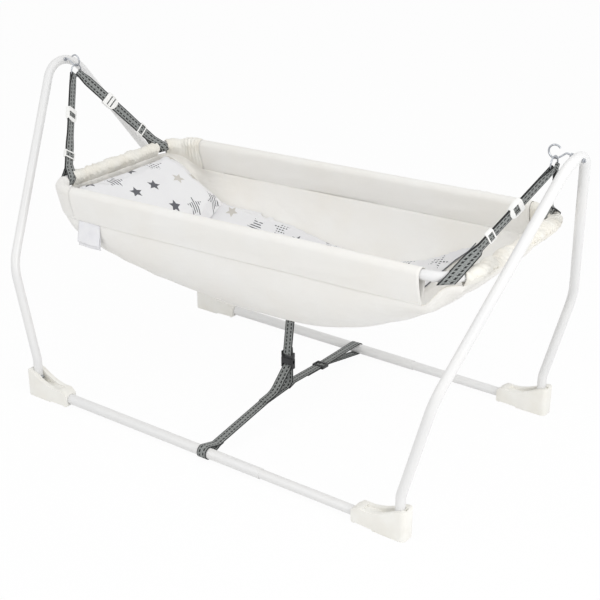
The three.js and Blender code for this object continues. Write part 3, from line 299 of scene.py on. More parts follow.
@dataclass(frozen=True)
class WovenCotton(Finish):
    """Plain woven cotton: threads every 0.5 mm, drawn at 1.6 mm to show, matt, with a little fuzz."""

    # On the cream cottons the second colour's broad patches are painted wrinkle shade.
    shade: str = "eadfca"
    shade_mm: float = 160.0
    thread_mm: float = 1.6

    def paint(self, tree: NodeTree) -> dict[str, object]:
        """The cloth's colour and any print, clouded with its second colour (painted wrinkle shade on the cream
        cottons), painted shade between its threads, and the threads' relief.
        """
        place = node(tree, "UVMap", uv_map=CLOTH_MAP)
        # A wave texture of scale one repeats 20 times in each full turn.
        scale = tau / (20 * self.thread_mm * MM)
        warp, weft = (
            node(tree, "TexWave", {"Vector": place, "Scale": scale, "Distortion": 0.4, "Detail": 1.0},
                 bands_direction=way) for way in "XY")
        slub = node(tree, "TexNoise", {"Vector": place, "Scale": 1000 / 30, "Detail": 5.0})
        known = {"warp": warp, "weft": weft, "slub": slub}
        compute(tree, known, (
            ("height", "Math", "MULTIPLY", "warp", "weft"),
            ("relief", "Math", "MULTIPLY_ADD", "slub", 9.0, "height"),
        ))
        # Painted shade between the threads: the colour is up to 4.5 % darker where they dip.
        threads = node(tree, "MapRange", {0: known["height"], 1: 0.0, 2: 1.0, 3: 0.955, 4: 1.0})
        # The second colour clouds the cloth's colour; on the cream cottons it is painted wrinkle shade.
        coloured_with_painted_shade = self.dye(tree, place, self.vary(tree))
        return {
            "Base Color": node(tree, "Mix", {0: 1.0, 1: coloured_with_painted_shade, 2: threads}, data_type="RGBA", blend_type="MULTIPLY"),
            "Normal": node(tree, "Bump", {"Strength": 0.5, "Distance": 0.35 * MM, "Height": known["relief"]}),
        }

    def dye(self, tree: NodeTree, place: Node, tone: Node) -> Node:
        """What is printed on the cloth over its clouded colour: nothing on plain cotton."""
        return tone


@dataclass(frozen=True)
class StarPrint(WovenCotton):
    """Cotton printed with scattered five-pointed stars.

    A draw from 0 to 1 decides for each cell of a loose grid: a solid dark star up to dark_below, a solid pale one
    up to solid_below, a dashed one up to striped_above, a striped one up to star_below, and else none.
    """

    cell_mm: float = 76.0
    star_share: float = 0.25
    dark: str = "5f6066"
    pale: str = "cfcbc4"
    notch: float = 0.46
    dark_below: float = 0.28
    solid_below: float = 0.52
    striped_above: float = 0.75
    star_below: float = 0.92

    def dye(self, tree: NodeTree, place: Node, tone: Node) -> Node:
        """The stars over the cloth's own tone.

        Args:
            tree: The material's tree.
            place: The cloth's own coordinate, in metres.
            tone: The cloth's tone.

        Returns:
            The printed colour.
        """
        fifth = pi / 5
        run_x, run_y = self.notch * cos(fifth) - 1, self.notch * sin(fifth)
        known = {"place": place}
        known["cells"] = node(tree, "VectorMath", {0: place, "Scale": 1000 / self.cell_mm}, operation="SCALE")
        compute(tree, known, (
            ("corner", "VectorMath", "FLOOR", "cells"),
            ("local", "VectorMath", "FRACTION", "cells"),
        ))
        dice = node(tree, "TexWhiteNoise", {"Vector": known["corner"]}, noise_dimensions="3D")
        known["dice"], known["draw"] = dice.outputs["Color"], dice.outputs["Value"]
        compute(tree, known, (
            ("spread", "VectorMath", "MULTIPLY_ADD", "dice", (0.38, 0.38, 0), (0.31, 0.31, 0)),
            ("arm", "VectorMath", "SUBTRACT", "local", "spread"),
            # The printed dashes are 3 mm long, drawn at 5 mm so that they still show from a few steps away.
            ("grid", "VectorMath", "MULTIPLY", "place", (1000 / 8.6, 1000 / 7.2, 1)),
            ("step", "VectorMath", "FRACTION", "grid"),
        ))
        for source, names in (("arm", ("x", "y")), ("dice", ("red", "green", "spin")), ("step", ("along", "across"))):
            parts = node(tree, "SeparateXYZ", {0: known[source]})
            known.update(zip(names, parts.outputs))
        known["flat"] = node(tree, "CombineXYZ", {0: known["x"], 1: known["y"]})
        compute(tree, known, (
            ("reach", "VectorMath", "LENGTH", "flat"),
            ("turn", "Math", "ARCTAN2", "y", "x"),
            ("spun", "Math", "MULTIPLY_ADD", "spin", tau, "turn"),
            ("wrapped", "Math", "WRAP", "spun", fifth, -fifth),
            ("angle", "Math", "ABSOLUTE", "wrapped"),
            ("cosine", "Math", "COSINE", "angle"),
            ("sine", "Math", "SINE", "angle"),
            ("x_part", "Math", "MULTIPLY", "reach", "cosine"),
            ("y_part", "Math", "MULTIPLY", "reach", "sine"),
            ("dashed", "Math", "GREATER_THAN", "draw", self.solid_below),
            ("size", "Math", "MULTIPLY_ADD", "dashed", self.star_share * 0.4, self.star_share),
            ("first", "Math", "MULTIPLY_ADD", "size", run_y, -0.002),
            ("second", "Math", "MULTIPLY_ADD", "y_part", run_x, "first"),
            ("edge", "Math", "MULTIPLY_ADD", "x_part", -run_y, "second"),
            ("inside", "Math", "GREATER_THAN", "edge", 0.0),
            ("solid", "Math", "LESS_THAN", "draw", self.solid_below),
            ("any_star", "Math", "LESS_THAN", "draw", self.star_below),
            ("striped", "Math", "GREATER_THAN", "draw", self.striped_above),
            ("short_part", "Math", "LESS_THAN", "along", 0.62),
            ("long_part", "Math", "MAXIMUM", "short_part", "striped"),
            ("thin_part", "Math", "LESS_THAN", "across", 0.42),
            ("dash", "Math", "MULTIPLY", "long_part", "thin_part"),
            ("filled", "Math", "MAXIMUM", "dash", "solid"),
            ("starred", "Math", "MULTIPLY", "inside", "any_star"),
            ("ink", "Math", "MULTIPLY", "starred", "filled"),
            ("darker", "Math", "LESS_THAN", "draw", self.dark_below),
            ("strong", "Math", "MAXIMUM", "darker", "dashed"),
        ))
        inks = node(tree, "Mix", {0: known["strong"], 1: linear(self.pale), 2: linear(self.dark)}, data_type="RGBA")
        return node(tree, "Mix", {0: known["ink"], 1: tone, 2: inks}, data_type="RGBA")


@dataclass(frozen=True)
class DashedWebbing(Finish):
    """Woven polyester webbing, 25 mm wide: slate ribs with two staggered rows of black dashes."""

    ink: str = "121314"
    rib: str = "a0a3a1"
    rib_mm: float = 1.3
    row_mm: float = 5.2
    dash_mm: float = 6.8
    dash_half_width_mm: float = 1.9
    pitch_mm: float = 10.4
    selvedge_mm: float = 10.6

    def paint(self, tree: NodeTree) -> dict[str, object]:
        """The ribs, the dashes and the dark selvedges, drawn from the strap's own length and width."""
        place = node(tree, "UVMap", uv_map=CLOTH_MAP)
        parts = node(tree, "SeparateXYZ", {0: place})
        ribs = node(tree, "TexWave", {"Vector": place, "Scale": tau / (20 * self.rib_mm * MM), "Distortion": 0.3},
                    bands_direction="X")
        known = {"along": parts.outputs[0], "across": parts.outputs[1], "ribs": ribs}
        compute(tree, known, (
            ("side", "Math", "GREATER_THAN", "across", 0.0),
            ("shifted", "Math", "MULTIPLY_ADD", "side", 0.5 * self.pitch_mm * MM, "along"),
            ("pitches", "Math", "MULTIPLY", "shifted", 1000 / self.pitch_mm),
            ("share", "Math", "FRACT", "pitches"),
            ("long_part", "Math", "LESS_THAN", "share", self.dash_mm / self.pitch_mm),
            ("out", "Math", "ABSOLUTE", "across"),
            ("past_row", "Math", "SUBTRACT", "out", self.row_mm * MM),
            ("from_row", "Math", "ABSOLUTE", "past_row"),
            ("thin_part", "Math", "LESS_THAN", "from_row", self.dash_half_width_mm * MM),
            ("dash", "Math", "MULTIPLY", "long_part", "thin_part"),
            ("selvedge", "Math", "GREATER_THAN", "out", self.selvedge_mm * MM),
            ("ink", "Math", "MAXIMUM", "dash", "selvedge"),
            ("high", "Math", "MULTIPLY_ADD", "dash", 0.8, "ribs"),
        ))
        yarn = node(tree, "TexNoise", {"Vector": place, "Scale": 1000 / 2.2, "Detail": 3.0})
        light = node(tree, "MapRange", {0: yarn, 1: 0.35, 2: 0.65, 3: 0.0, 4: 1.0})
        tone = node(tree, "Mix", {0: light, 1: linear(self.colour), 2: linear(self.rib)}, data_type="RGBA")
        return {
            "Base Color": node(tree, "Mix", {0: known["ink"], 1: tone, 2: linear(self.ink)}, data_type="RGBA"),
            "Normal": node(tree, "Bump", {"Strength": 0.5, "Distance": 0.3 * MM, "Height": known["high"]}),
        }


class Palette:
    """All of the cradle's finishes, each built once."""

    def __init__(self) -> None:
        """Builds the materials."""
        self.enamel = PowderCoat("white_powder_coat", "e6e6e6", 0.3, coat=0.2).build()
        self.plastic = MouldedPlastic("white_polypropylene", "f3f2ed", 0.42).build()
        self.fitting = MouldedPlastic("white_acetal", "f3f3f1", 0.3, shade="e8e8e6").build()
        self.black = MouldedPlastic("black_acetal", "1a1b1d", 0.38, shade="26282b").build()
        self.zinc = ZincPlate("zinc_plated_steel", "b9bcc1", 0.22, metallic=1.0).build()
        # The cream cotton's second colour, in broad patches, is painted wrinkle shade.
        self.cotton = WovenCotton("cream_cotton", "f5f4f1", 0.85, sheen=0.15, shade="f0ece4").build()
        # The cotton inside is a lighter copy of the outside cotton, as painted light on the hammock's inner walls; its
        # beige second colour is painted shade.
        self.lining = WovenCotton("cream_cotton_inside", "fbfaf7", 0.85, sheen=0.15, shade="f7f2e8").build()
        # The gathered cotton is a slightly darker copy of the cream cotton, as painted shade on its bright puffs,
        # clouded with painted shade in patches the size of the gathers.
        self.ruffle = WovenCotton("gathered_cotton", "f3f1ea", 0.85, sheen=0.15, shade="efe8d9", shade_mm=40).build()
        self.print = StarPrint("star_printed_cotton", "efeff0", 0.85, sheen=0.1, shade="e8e7ea").build()
        self.piping = WovenCotton("grey_piping", "6d6f74", 0.8, shade="55575b", shade_mm=30).build()
        self.webbing = DashedWebbing("slate_webbing", "6c706f", 0.7, sheen=0.1).build()
        self.satin = WovenCotton("white_satin", "f6f6f8", 0.4, sheen=0.2, shade="ececf2", shade_mm=20,
                                 thread_mm=0.9).build()
        self.thread = WovenCotton("cream_thread", "efe9dc", 0.7, shade="e4dcc9", shade_mm=9).build()


# Mesh building


def finished(name: str, bm: BMesh, material: Material, limit: float = 0.6) -> Object:
    """Turns a bmesh into an object of the scene.

    Args:
        name: The piece's name.
        bm: The mesh, which is freed.
        material: The piece's finish.
        limit: The largest turn that shades smooth, in radians.

    Returns:
        The object, at the origin.
    """
    for face in bm.faces:
        face.smooth = True
    for edge in bm.edges:
        edge.smooth = len(edge.link_faces) != 2 or edge.calc_face_angle(0.0) < limit
    mesh = bpy.data.meshes.new(name)
    bm.to_mesh(mesh)
    bm.free()
    mesh.materials.append(material)
    piece = bpy.data.objects.new(name, mesh)
    bpy.context.scene.collection.objects.link(piece)
    return piece


def patch(name: str, points: np.ndarray, material: Material, span: float | None = None, closed: bool = False) -> Object:
    """A sheet through a grid of points, with its own length and width in metres as its map.

    Args:
        name: The piece's name.
        points: Rows of points along the sheet, each row running across it.
        material: The sheet's finish.
        span: The width that the map gives a row, if not its real one.
        closed: Whether each row closes on itself.

    Returns:
        The object.
    """
    rows, columns = points.shape[0] - 1, points.shape[1] - 1
    steps = np.linalg.norm(np.diff(points, axis=1), axis=2)
    across = np.zeros(points.shape[:2])
    across[:, 1:] = np.cumsum(steps, axis=1)
    across -= across[:, -1:] / 2
    if span is not None:
        across[:] = np.linspace(-span / 2, span / 2, columns + 1)
    middle = points[:, columns // 2]
    along = np.zeros(rows + 1)
    along[1:] = np.cumsum(np.linalg.norm(np.diff(middle, axis=0), axis=1))
    bm = bmesh.new()
    bmesh.ops.create_grid(bm, x_segments=rows, y_segments=columns, size=0.5)
    places = {v: (round((v.co.x + 0.5) * rows), round((v.co.y + 0.5) * columns)) for v in bm.verts}
    layer = bm.loops.layers.uv.new(CLOTH_MAP)
    for face in bm.faces:
        for loop in face.loops:
            i, j = places[loop.vert]
            loop[layer].uv = (along[i], across[i, j])
    for vert, (i, j) in places.items():
        vert.co = points[i, j]
    if closed:
        bmesh.ops.remove_doubles(bm, verts=bm.verts, dist=1e-6)
    return finished(name, bm, material, limit=1.2)


def thicken(piece: Object, thickness: float) -> Object:
    """Gives a sheet its thickness in metres, half of it on each side, and returns it."""
    wall = piece.modifiers.new("thickness", "SOLIDIFY")
    wall.thickness = thickness
    wall.offset = 0.0
    wall.use_even_offset = False
    return piece


def bake(piece: Object) -> None:
    """Puts a piece's modifiers into its mesh."""
    graph = bpy.context.evaluated_depsgraph_get()
    graph.update()
    shaped = bpy.data.meshes.new_from_object(piece.evaluated_get(graph))
    piece.modifiers.clear()
    old = piece.data
    piece.data = shaped
    bpy.data.meshes.remove(old)


def lay_map(piece: Object, flat: Sequence[tuple[float, float]]) -> None:
    """Gives a piece a map in metres, from the flat place of each of its points."""
    mesh = piece.data
    layer = mesh.uv_layers.get(CLOTH_MAP) or mesh.uv_layers.new(name=CLOTH_MAP)
    for loop in mesh.loops:
        layer.data[loop.index].uv = flat[loop.vertex_index]


def mapped(piece: Object) -> None:
    """Gives a thin cord or hem a map that follows its own X and Z."""
    lay_map(piece, [(v.co.x + v.co.y, v.co.z) for v in piece.data.vertices])


def sheet_size(piece: Object) -> tuple[float, float, float]:
    """The greatest width and length of a sheet, by its map in metres, and the area of its faces."""
    mesh = piece.data
    uv = np.zeros(len(mesh.loops) * 2)
    mesh.uv_layers[CLOTH_MAP].data.foreach_get("uv", uv)
    length, width = np.ptp(uv.reshape(-1, 2), axis=0)
    return float(width), float(length), float(sum(polygon.area for polygon in mesh.polygons))


def rounded_path(corners: Sequence[Vector], radii: Sequence[float], steps: int) -> list[Vector]:
    """A line whose inner corners are arcs.

    Args:
        corners: The line's corners, both ends included.
        radii: One radius for each inner corner.
        steps: The steps of each arc.

    Returns:
        The points of the line.
    """
    points = [corners[0].copy()]
    for before, corner, after, radius in zip(corners, corners[1:], corners[2:], radii):
        back = (before - corner).normalized()
        ahead = (after - corner).normalized()
        half = back.angle(ahead) / 2
        centre = corner + (back + ahead).normalized() * (radius / sin(half))
        start = corner + back * (radius / tan(half)) - centre
        axis = (-back).cross(ahead).normalized()
        for turn in spaced(0, pi - half * 2, steps):
            points.append(centre + Matrix.Rotation(turn, 3, axis) @ start)
    points.append(corners[-1].copy())
    return points


def tube(name: str, path: Sequence[Vector], radius: float, material: Material, sides: int = 24,
         closed: bool = False) -> Object:
    """A round tube or wire along a line, with capped ends and a map along its length.

    Args:
        name: The piece's name.
        path: The centre line.
        radius: In metres.
        material: The finish.
        sides: The sides of its section.
        closed: Whether the line closes on itself.

    Returns:
        A mesh object.
    """
    line = bpy.data.curves.new(name + "_line", "CURVE")
    line.dimensions = "3D"
    line.bevel_depth = radius
    line.bevel_resolution = max(sides // 4 - 1, 1)
    line.use_fill_caps = not closed
    spline = line.splines.new("POLY")
    spline.points.add(len(path) - 1)
    for point, place in zip(spline.points, path):
        point.co = (*place, 1.0)
    spline.use_cyclic_u = closed
    holder = bpy.data.objects.new(name + "_line", line)
    bpy.context.scene.collection.objects.link(holder)
    bpy.context.view_layer.update()
    shape = bpy.data.meshes.new_from_object(holder.evaluated_get(bpy.context.evaluated_depsgraph_get()))
    bpy.data.objects.remove(holder)
    bm = bmesh.new()
    bm.from_mesh(shape)
    bpy.data.meshes.remove(shape)
    bmesh.ops.remove_doubles(bm, verts=bm.verts, dist=1e-7)
    return finished(name, bm, material, limit=0.9)


def turned(name: str, profile: Sequence[tuple[float, float]], material: Material, steps: int = 32,
           place: Matrix = Matrix.Identity(4)) -> Object:
    """A closed profile of radii and heights, spun round Z and then put in its place.

    Args:
        name: The piece's name.
        profile: Radius and height pairs, in metres.
        material: The finish.
        steps: The steps of the full turn.
        place: Where the spun piece goes.

    Returns:
        The object.
    """
    bm = bmesh.new()
    verts = [bm.verts.new((radius, 0, height)) for radius, height in profile]
    edges = [bm.edges.new((a, b)) for a, b in zip(verts, verts[1:] + verts[:1])]
    bmesh.ops.spin(bm, geom=verts + edges, cent=(0, 0, 0), axis=(0, 0, 1), angle=tau, steps=steps, use_merge=True)
    bmesh.ops.remove_doubles(bm, verts=bm.verts, dist=1e-7)
    bmesh.ops.recalc_face_normals(bm, faces=bm.faces)
    bmesh.ops.transform(bm, matrix=place, verts=bm.verts)
    return finished(name, bm, material)


def mirrored(points: Iterable[Vector], end: End) -> list[Vector]:
    """Points of the right end, or their mirror images at the left end."""
    return [Vector((p.x * end.value, p.y, p.z)) for p in points]


def arc(centre: Vector, radius: float, first: float, last: float, steps: int) -> list[Vector]:
    """The points of a flat arc from one angle to another."""
    return [centre + Vector((cos(a), sin(a))) * radius for a in spaced(first, last, steps)]


def around(start: Vector, centre: Vector, radius: float, end: Vector, turn: int, steps: int) -> list[Vector]:
    """A flat line from one point round a bar to another, touching the bar at both ends.

    Args:
        start: Where it starts.
        centre: The bar.
        radius: The bar's radius with the strap's half thickness.
        end: Where it stops.
        turn: 1 for counterclockwise, -1 for clockwise.
        steps: The steps of the arc.

    Returns:
        The points, both ends included.
    """
    def touch(point: Vector, sign: int) -> float:
        """The angle at which a line from the point touches the bar."""
        arm = point - centre
        return atan2(arm.y, arm.x) + sign * acos(radius / arm.length)

    first = touch(start, turn)
    sweep = ((touch(end, -turn) - first) * turn) % tau
    return [start, *arc(centre, radius, first, first + sweep * turn, steps), end]


class Workshop:
    """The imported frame, the finishes, and the ways that a piece takes its place on them."""

    def __init__(self, frame: dict, palette: Palette) -> None:
        """Keeps the frame and reads which body and slot each node has.

        Args:
            palette: The finishes.
        """
        self.frame = frame
        self.palette = palette
        record = frame["record"]
        self.bodies = {n: body for body, nodes in record["behaviour"]["bodies"].items() for n in nodes}
        self.slots = {part["node"]: part["material_slot"] for part in record["subparts"]}

    def stand_in(self, piece: Object, cad_node: str) -> None:
        """The piece stands for a CAD node and rides as the node does; the node is hidden."""
        self.beside(piece, cad_node)
        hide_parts(cad_node)

    def beside(self, piece: Object, cad_node: str) -> None:
        """The piece rides with a CAD node, and the node stays as it is."""
        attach(piece, self.bodies[cad_node])
        LOG.info("%s rides on %s", piece.name, self.bodies[cad_node])

    def eased(self, cad_node: str, stuff: str, material: Material, edge: float, segments: int = 2) -> None:
        """Makes a copy of a CAD node with its coplanar faces merged and its edges rounded, which stands for it.

        Args:
            cad_node: The node to copy.
            stuff: What the new piece's name adds to the node's.
            material: Its finish.
            edge: The width of the rounded edges, in metres.
            segments: The steps of each rounded edge.
        """
        bm = bmesh.new()
        bm.from_mesh(self.frame["nodes"][cad_node].data)
        bmesh.ops.remove_doubles(bm, verts=bm.verts, dist=1e-6)
        bmesh.ops.dissolve_limit(bm, angle_limit=radians(1.0), verts=bm.verts, edges=bm.edges)
        sharp = [e for e in bm.edges if e.is_manifold and e.calc_face_angle(0.0) > radians(38)]
        bmesh.ops.bevel(bm, geom=sharp, offset=edge, offset_type="OFFSET", segments=segments, profile=0.5,
                        affect="EDGES", clamp_overlap=True, material=-1)
        bmesh.ops.triangulate(bm, faces=[f for f in bm.faces if len(f.verts) > 4])
        self.stand_in(finished(f"{cad_node}_{stuff}", bm, material, limit=0.75), cad_node)


# The stand


@dataclass
class Stand:
    """The two bent end frames, their feet and bolts, and the telescoping base tubes."""

    shop: Workshop
    spacing_x: float = 1.058
    spacing_y: float = 0.650
    tube_radius: float = 0.011
    lean: float = radians(14.7)
    lower_bend_z: float = 0.096
    knee_z: float = 0.330
    knee_y: float = 0.3175
    apex_z: float = 0.760
    lower_radius: float = 0.060
    knee_radius: float = 0.130
    top_radius: float = 0.070
    socket_floor: float = 0.0243
    base_z: float = 0.018
    base_joint_x: float = 0.170
    base_end_x: float = 0.505
    base_overlap: float = 0.060
    wide_radius: float = 0.0125
    tube_wall: float = 0.0012
    tube_lip: float = 0.0006

    def frame_point(self, y: float, rise: float) -> Vector:
        """A point of the leaning plane of the right end frame."""
        return Vector((self.spacing_x / 2 + rise * sin(self.lean), y,
                       self.lower_bend_z + rise * cos(self.lean)))

    def top_centre_rise(self) -> float:
        """How far up the leaning plane the top bend's centre lies."""
        return (self.apex_z - self.lower_bend_z) / cos(self.lean) - self.top_radius

    def frame_path(self, end: End) -> list[Vector]:
        """The centre line of an end frame.

        Args:
            end: Which end frame.

        Returns:
            Its points, from the front foot over the top to the back foot.
        """
        centre = self.top_centre_rise()
        knee = (self.knee_z - self.lower_bend_z) / cos(self.lean)
        slant = hypot(self.knee_y, centre - knee)
        leg = atan2(self.knee_y, centre - knee) - asin(self.top_radius / slant)
        peak = self.frame_point(0, centre + self.top_radius / sin(leg))
        half = self.spacing_y / 2

        def corner_list(sign: int) -> list[Vector]:
            """The corners of one leg, from its foot up."""
            return [Vector((self.spacing_x / 2, half * sign, self.socket_floor)),
                    Vector((self.spacing_x / 2, half * sign, self.lower_bend_z)),
                    self.frame_point(self.knee_y * sign, knee)]

        corners = [*corner_list(-1), peak, *reversed(corner_list(1))]
        radii = [self.lower_radius, self.knee_radius, self.top_radius, self.knee_radius, self.lower_radius]
        points = rounded_path(corners, radii, 14)
        return mirrored(points, end)

    def base_tubes(self, side: Side) -> None:
        """Both halves of a base tube, turned from their sections, the thin one sliding in the wide one."""
        y = self.spacing_y / 2 * side.value
        place = Matrix.Translation((0, y, self.base_z)) @ Matrix.Rotation(pi / 2, 4, "Y")
        lip = self.tube_lip
        for half, start, end, radius in (
                ("outer", -self.base_end_x, self.base_joint_x, self.wide_radius),
                ("inner", self.base_joint_x - self.base_overlap, self.base_end_x, self.tube_radius)):
            bore = radius - self.tube_wall
            profile = [(bore, start), (bore, end), (radius - lip, end), (radius, end - lip),
                       (radius, start + lip), (radius - lip, start)]
            name = f"base_tube_{word(side)}_{half}"
            self.shop.stand_in(turned(name + "_steel", profile, self.shop.palette.enamel, 32, place), name)

    def build(self) -> None:
        """Builds the stand."""
        palette = self.shop.palette
        for end in End:
            e = word(end)
            bent = tube(f"end_frame_{e}_steel", self.frame_path(end), self.tube_radius, palette.enamel, 28)
            self.shop.stand_in(bent, f"end_frame_{e}")
            for side in Side:
                corner = f"{e}_{word(side)}"
                self.shop.eased(f"foot_{corner}", "moulding", palette.plastic, 1.6 * MM, 3)
                self.shop.eased(f"frame_bolt_{corner}", "steel", palette.zinc, 0.4 * MM)
                self.shop.eased(f"frame_nut_{corner}", "steel", palette.zinc, 0.4 * MM)
        for side in Side:
            self.base_tubes(side)


@dataclass
class Suspension:
    """The wire hooks at the tops of the end frames, their nuts, and the rings that hang in them."""

    shop: Workshop
    stand: Stand
    wire: float = 0.002
    bowl_radius: float = 0.0135
    bowl_x: float = 0.6555
    bowl_z: float = 0.765
    ring_radius: float = 0.016
    ring_wire: float = 0.00175
    ring_z: float = 0.73955
    entry: float = radians(-60)
    finish: float = radians(-322)

    def hook_path(self, end: End) -> list[Vector]:
        """The line of a hook's wire, from its outer tip through the frame and round the bowl."""
        run = Vector((-cos(self.stand.lean), 0, sin(self.stand.lean)))
        apex = self.stand.frame_point(0, self.stand.top_centre_rise() + self.stand.top_radius)
        bowl = Vector((self.bowl_x, 0, self.bowl_z))

        def on_bowl(angle: float) -> Vector:
            """A point of the bowl."""
            return bowl + Vector((cos(angle), 0, sin(angle))) * self.bowl_radius

        start = on_bowl(self.entry)
        lead = Vector((sin(self.entry), 0, -cos(self.entry))) * -0.005
        corners = [apex - run * 0.018, apex + run * 0.024, start + lead, start]
        points = rounded_path(corners, [0.004, 0.004], 6)[:-1]
        points += [on_bowl(angle) for angle in spaced(self.entry, self.finish, 36)]
        return mirrored(points, end)

    def build(self) -> None:
        """Builds the hooks, nuts and rings."""
        palette = self.shop.palette
        for end in End:
            e = word(end)
            hook = tube(f"hook_{e}_wire", self.hook_path(end), self.wire, palette.zinc, 16)
            self.shop.stand_in(hook, f"hook_{e}")
            for place in ("inner", "outer"):
                self.shop.eased(f"hook_nut_{place}_{e}", "steel", palette.zinc, 0.5 * MM)
            ring = [Vector((self.bowl_x * end.value, self.ring_radius * cos(a),
                            self.ring_z + self.ring_radius * sin(a))) for a in spaced(0, tau, 64)[:-1]]
            piece = tube(f"metal_ring_{e}_wire", ring, self.ring_wire, palette.zinc, 16, closed=True)
            self.shop.stand_in(piece, f"metal_ring_{e}")


# The hammock


@dataclass
class HammockShape:
    """The surface that the hammock's cloth, mattress and pillow follow, in the rail's own frame."""

    half_length: float = 0.566
    corner_x: float = 0.481
    corner_y: float = 0.153
    corner_radius: float = 0.085
    sleeve_half: float = 0.479
    sleeve_drop: float = 0.0663
    end_drop: float = 0.020
    depth: float = 0.262
    tilt: float = radians(1.63)
    shift: float = 0.028
    height: float = 0.535
    place: Matrix = field(init=False)

    def __post_init__(self) -> None:
        """Works out where the rail's frame stands."""
        rise = self.height + self.shift * tan(self.tilt)
        self.place = Matrix.Translation((self.shift, 0, rise)) @ Matrix.Rotation(-self.tilt, 4, "Y")

    def depth_at(self, u: float) -> float:
        """How far the belly hangs below the rail at a share u of the half length."""
        power, sharpness = (2.0, 0.42) if u < 0 else (2.3, 1.0)
        return self.end_drop + (self.depth - self.end_drop) * max(1 - abs(u) ** power, 0.0) ** sharpness

    def rim_at(self, u: float) -> float:
        """How far below the rail the cloth begins."""
        past = max(abs(u) * self.half_length - self.sleeve_half, 0) / (self.half_length - self.sleeve_half)
        return lerp(self.sleeve_drop, self.end_drop, smooth(past, 0, 0.6 if u > 0 else 1))

    def half_width_at(self, u: float) -> float:
        """Half the rail's width at u."""
        past = clamp(abs(u) * self.half_length - self.corner_x, 0, self.corner_radius)
        return self.corner_y + sqrt(max(self.corner_radius ** 2 - past ** 2, 0))

    def point(self, u: float, v: float) -> Vector:
        """A point of the smooth surface, u along it from -1 to 1 and v across it from 0 to 1."""
        angle = pi * v
        deep = self.depth_at(u)
        rim = min(self.rim_at(u), deep)
        power = lerp(0.9, 0.8 if u < 0 else 0.6, abs(u))
        drop = rim + (deep - rim) * max(sin(angle), 0.0) ** power
        return Vector((u * self.half_length, -self.half_width_at(u) * cos(angle), -drop))

    def inward(self, u: float, v: float) -> Vector:
        """The direction into the hammock, square to its surface."""
        step = 1 / 160
        along = self.point(min(u + step, 1), v) - self.point(max(u - step, -1), v)
        across = self.point(u, min(v + step, 1)) - self.point(u, max(v - step, 0))
        return along.cross(across).normalized()

    def fold(self, u: float, v: float) -> float:
        """The even waves that run down from the ends, which the bedding follows too."""
        fade = sin(pi * min((1 - abs(u)) / 0.18, 1))
        return 0.004 * fade * sin(9 * pi * v) * sin(pi * v)

    def gather(self, u: float, v: float) -> float:
        """The creases that run down from the gathered sleeves at both ends."""
        near = smooth(abs(u), 0.62, 0.93)
        if near == 0:
            return 0.0
        place = self.point(u, v)
        below = -place.z - min(self.rim_at(u), self.depth_at(u))
        end = End.RIGHT if u > 0 else End.LEFT
        puff = self.puff(end, self.bow_reach(place.x, place.y) * lerp(1.0, 0.8, smooth(below, 0, 0.1)))
        return -0.0062 * near * puff * exp(-max(below, 0) / 0.07) * smooth(below, 0, 0.014)

    def drape(self, u: float, v: float) -> float:
        """The soft diagonal folds and creases of the hanging cloth, which pull from the corners."""
        edge = sin(pi * clamp(v)) * smooth(1 - abs(u), 0, 0.05)
        swirl = ripple(u * 3.1, v * 5.0, 4.2)
        pull = sin(22 * v + 7 * abs(u) + 2.2 * swirl) * smooth(abs(u), 0.35, 0.9)
        broad = ripple(u * 2.0, v * 3.0, 9.7)
        slant = u * 5 + v * 9 * (1 if u < 0 else -1)
        crease = 1 - abs(ripple(slant * 1.1, (u * 2 - v * 2) * 0.9, 1.3)) * 2.4
        small = ripple(u * 16.0, v * 26.0, 5.5)
        move = 0.0028 * pull + 0.006 * broad - 0.0026 * max(crease, 0) ** 2 + 0.0011 * small
        # The folds hang outwards, clear of the mattress that lies inside.
        return edge * min(move - 0.0025, 0.0008)

    def bow_point(self, end: End, reach: float) -> tuple[Vector, Vector]:
        """A place on the rail's centre line.

        Args:
            end: Which end's bow.
            reach: The distance round the bow from the middle of its end, positive to the back.

        Returns:
            The place and the direction out of the hammock there, both in the rail's frame.
        """
        side = 1 if reach >= 0 else -1
        past = abs(reach) - self.corner_y
        turn = min(max(past, 0) / self.corner_radius, pi / 2)
        straight = max(past - self.corner_radius * pi / 2, 0)
        x = self.corner_x + self.corner_radius * cos(turn) - straight
        y = min(abs(reach), self.corner_y) + self.corner_radius * sin(turn)
        out = Vector((cos(turn) * end.value, sin(turn) * side, 0))
        return Vector((x * end.value, y * side, 0)), out

    def bow_reach(self, x: float, y: float) -> float:
        """The distance round the bow of the place nearest to a point, positive to the back."""
        over_x, over_y = abs(x) - self.corner_x, abs(y) - self.corner_y
        if over_y <= 0:
            return y
        turn = atan2(over_y, over_x) if over_x > 0 else pi / 2
        reach = self.corner_y + self.corner_radius * turn + max(-over_x, 0)
        return reach if y > 0 else -reach

    def puff(self, end: End, reach: float) -> float:
        """The gathers of the cloth round a bow, from 0 in a crease to 1 on a puff."""
        seed = 3.0 * end.value
        warp = reach + 0.02 * ripple(reach * 15, seed, 1.7)
        pleat = min(abs(ripple(warp * 31, seed, 4.4)) * 2.6, 1) ** 0.6
        loose = clamp(0.5 + 0.9 * ripple(reach * 27, seed, 8.1))
        crease = 1 - min(abs(ripple(warp * 88, seed, 2.9)) * 3.4, 1)
        return max(pleat * (0.4 + 0.6 * loose) + 0.12 - 0.5 * crease, 0)

    def world(self, point: Vector) -> Vector:
        """A point of the rail's frame, in the row frame."""
        return self.place @ point

    def above(self, u: float, v: float, height: float) -> Vector:
        """A point that lies a height inwards of the surface, in the row frame."""
        return self.world(self.point(u, v) + self.inward(u, v) * height)

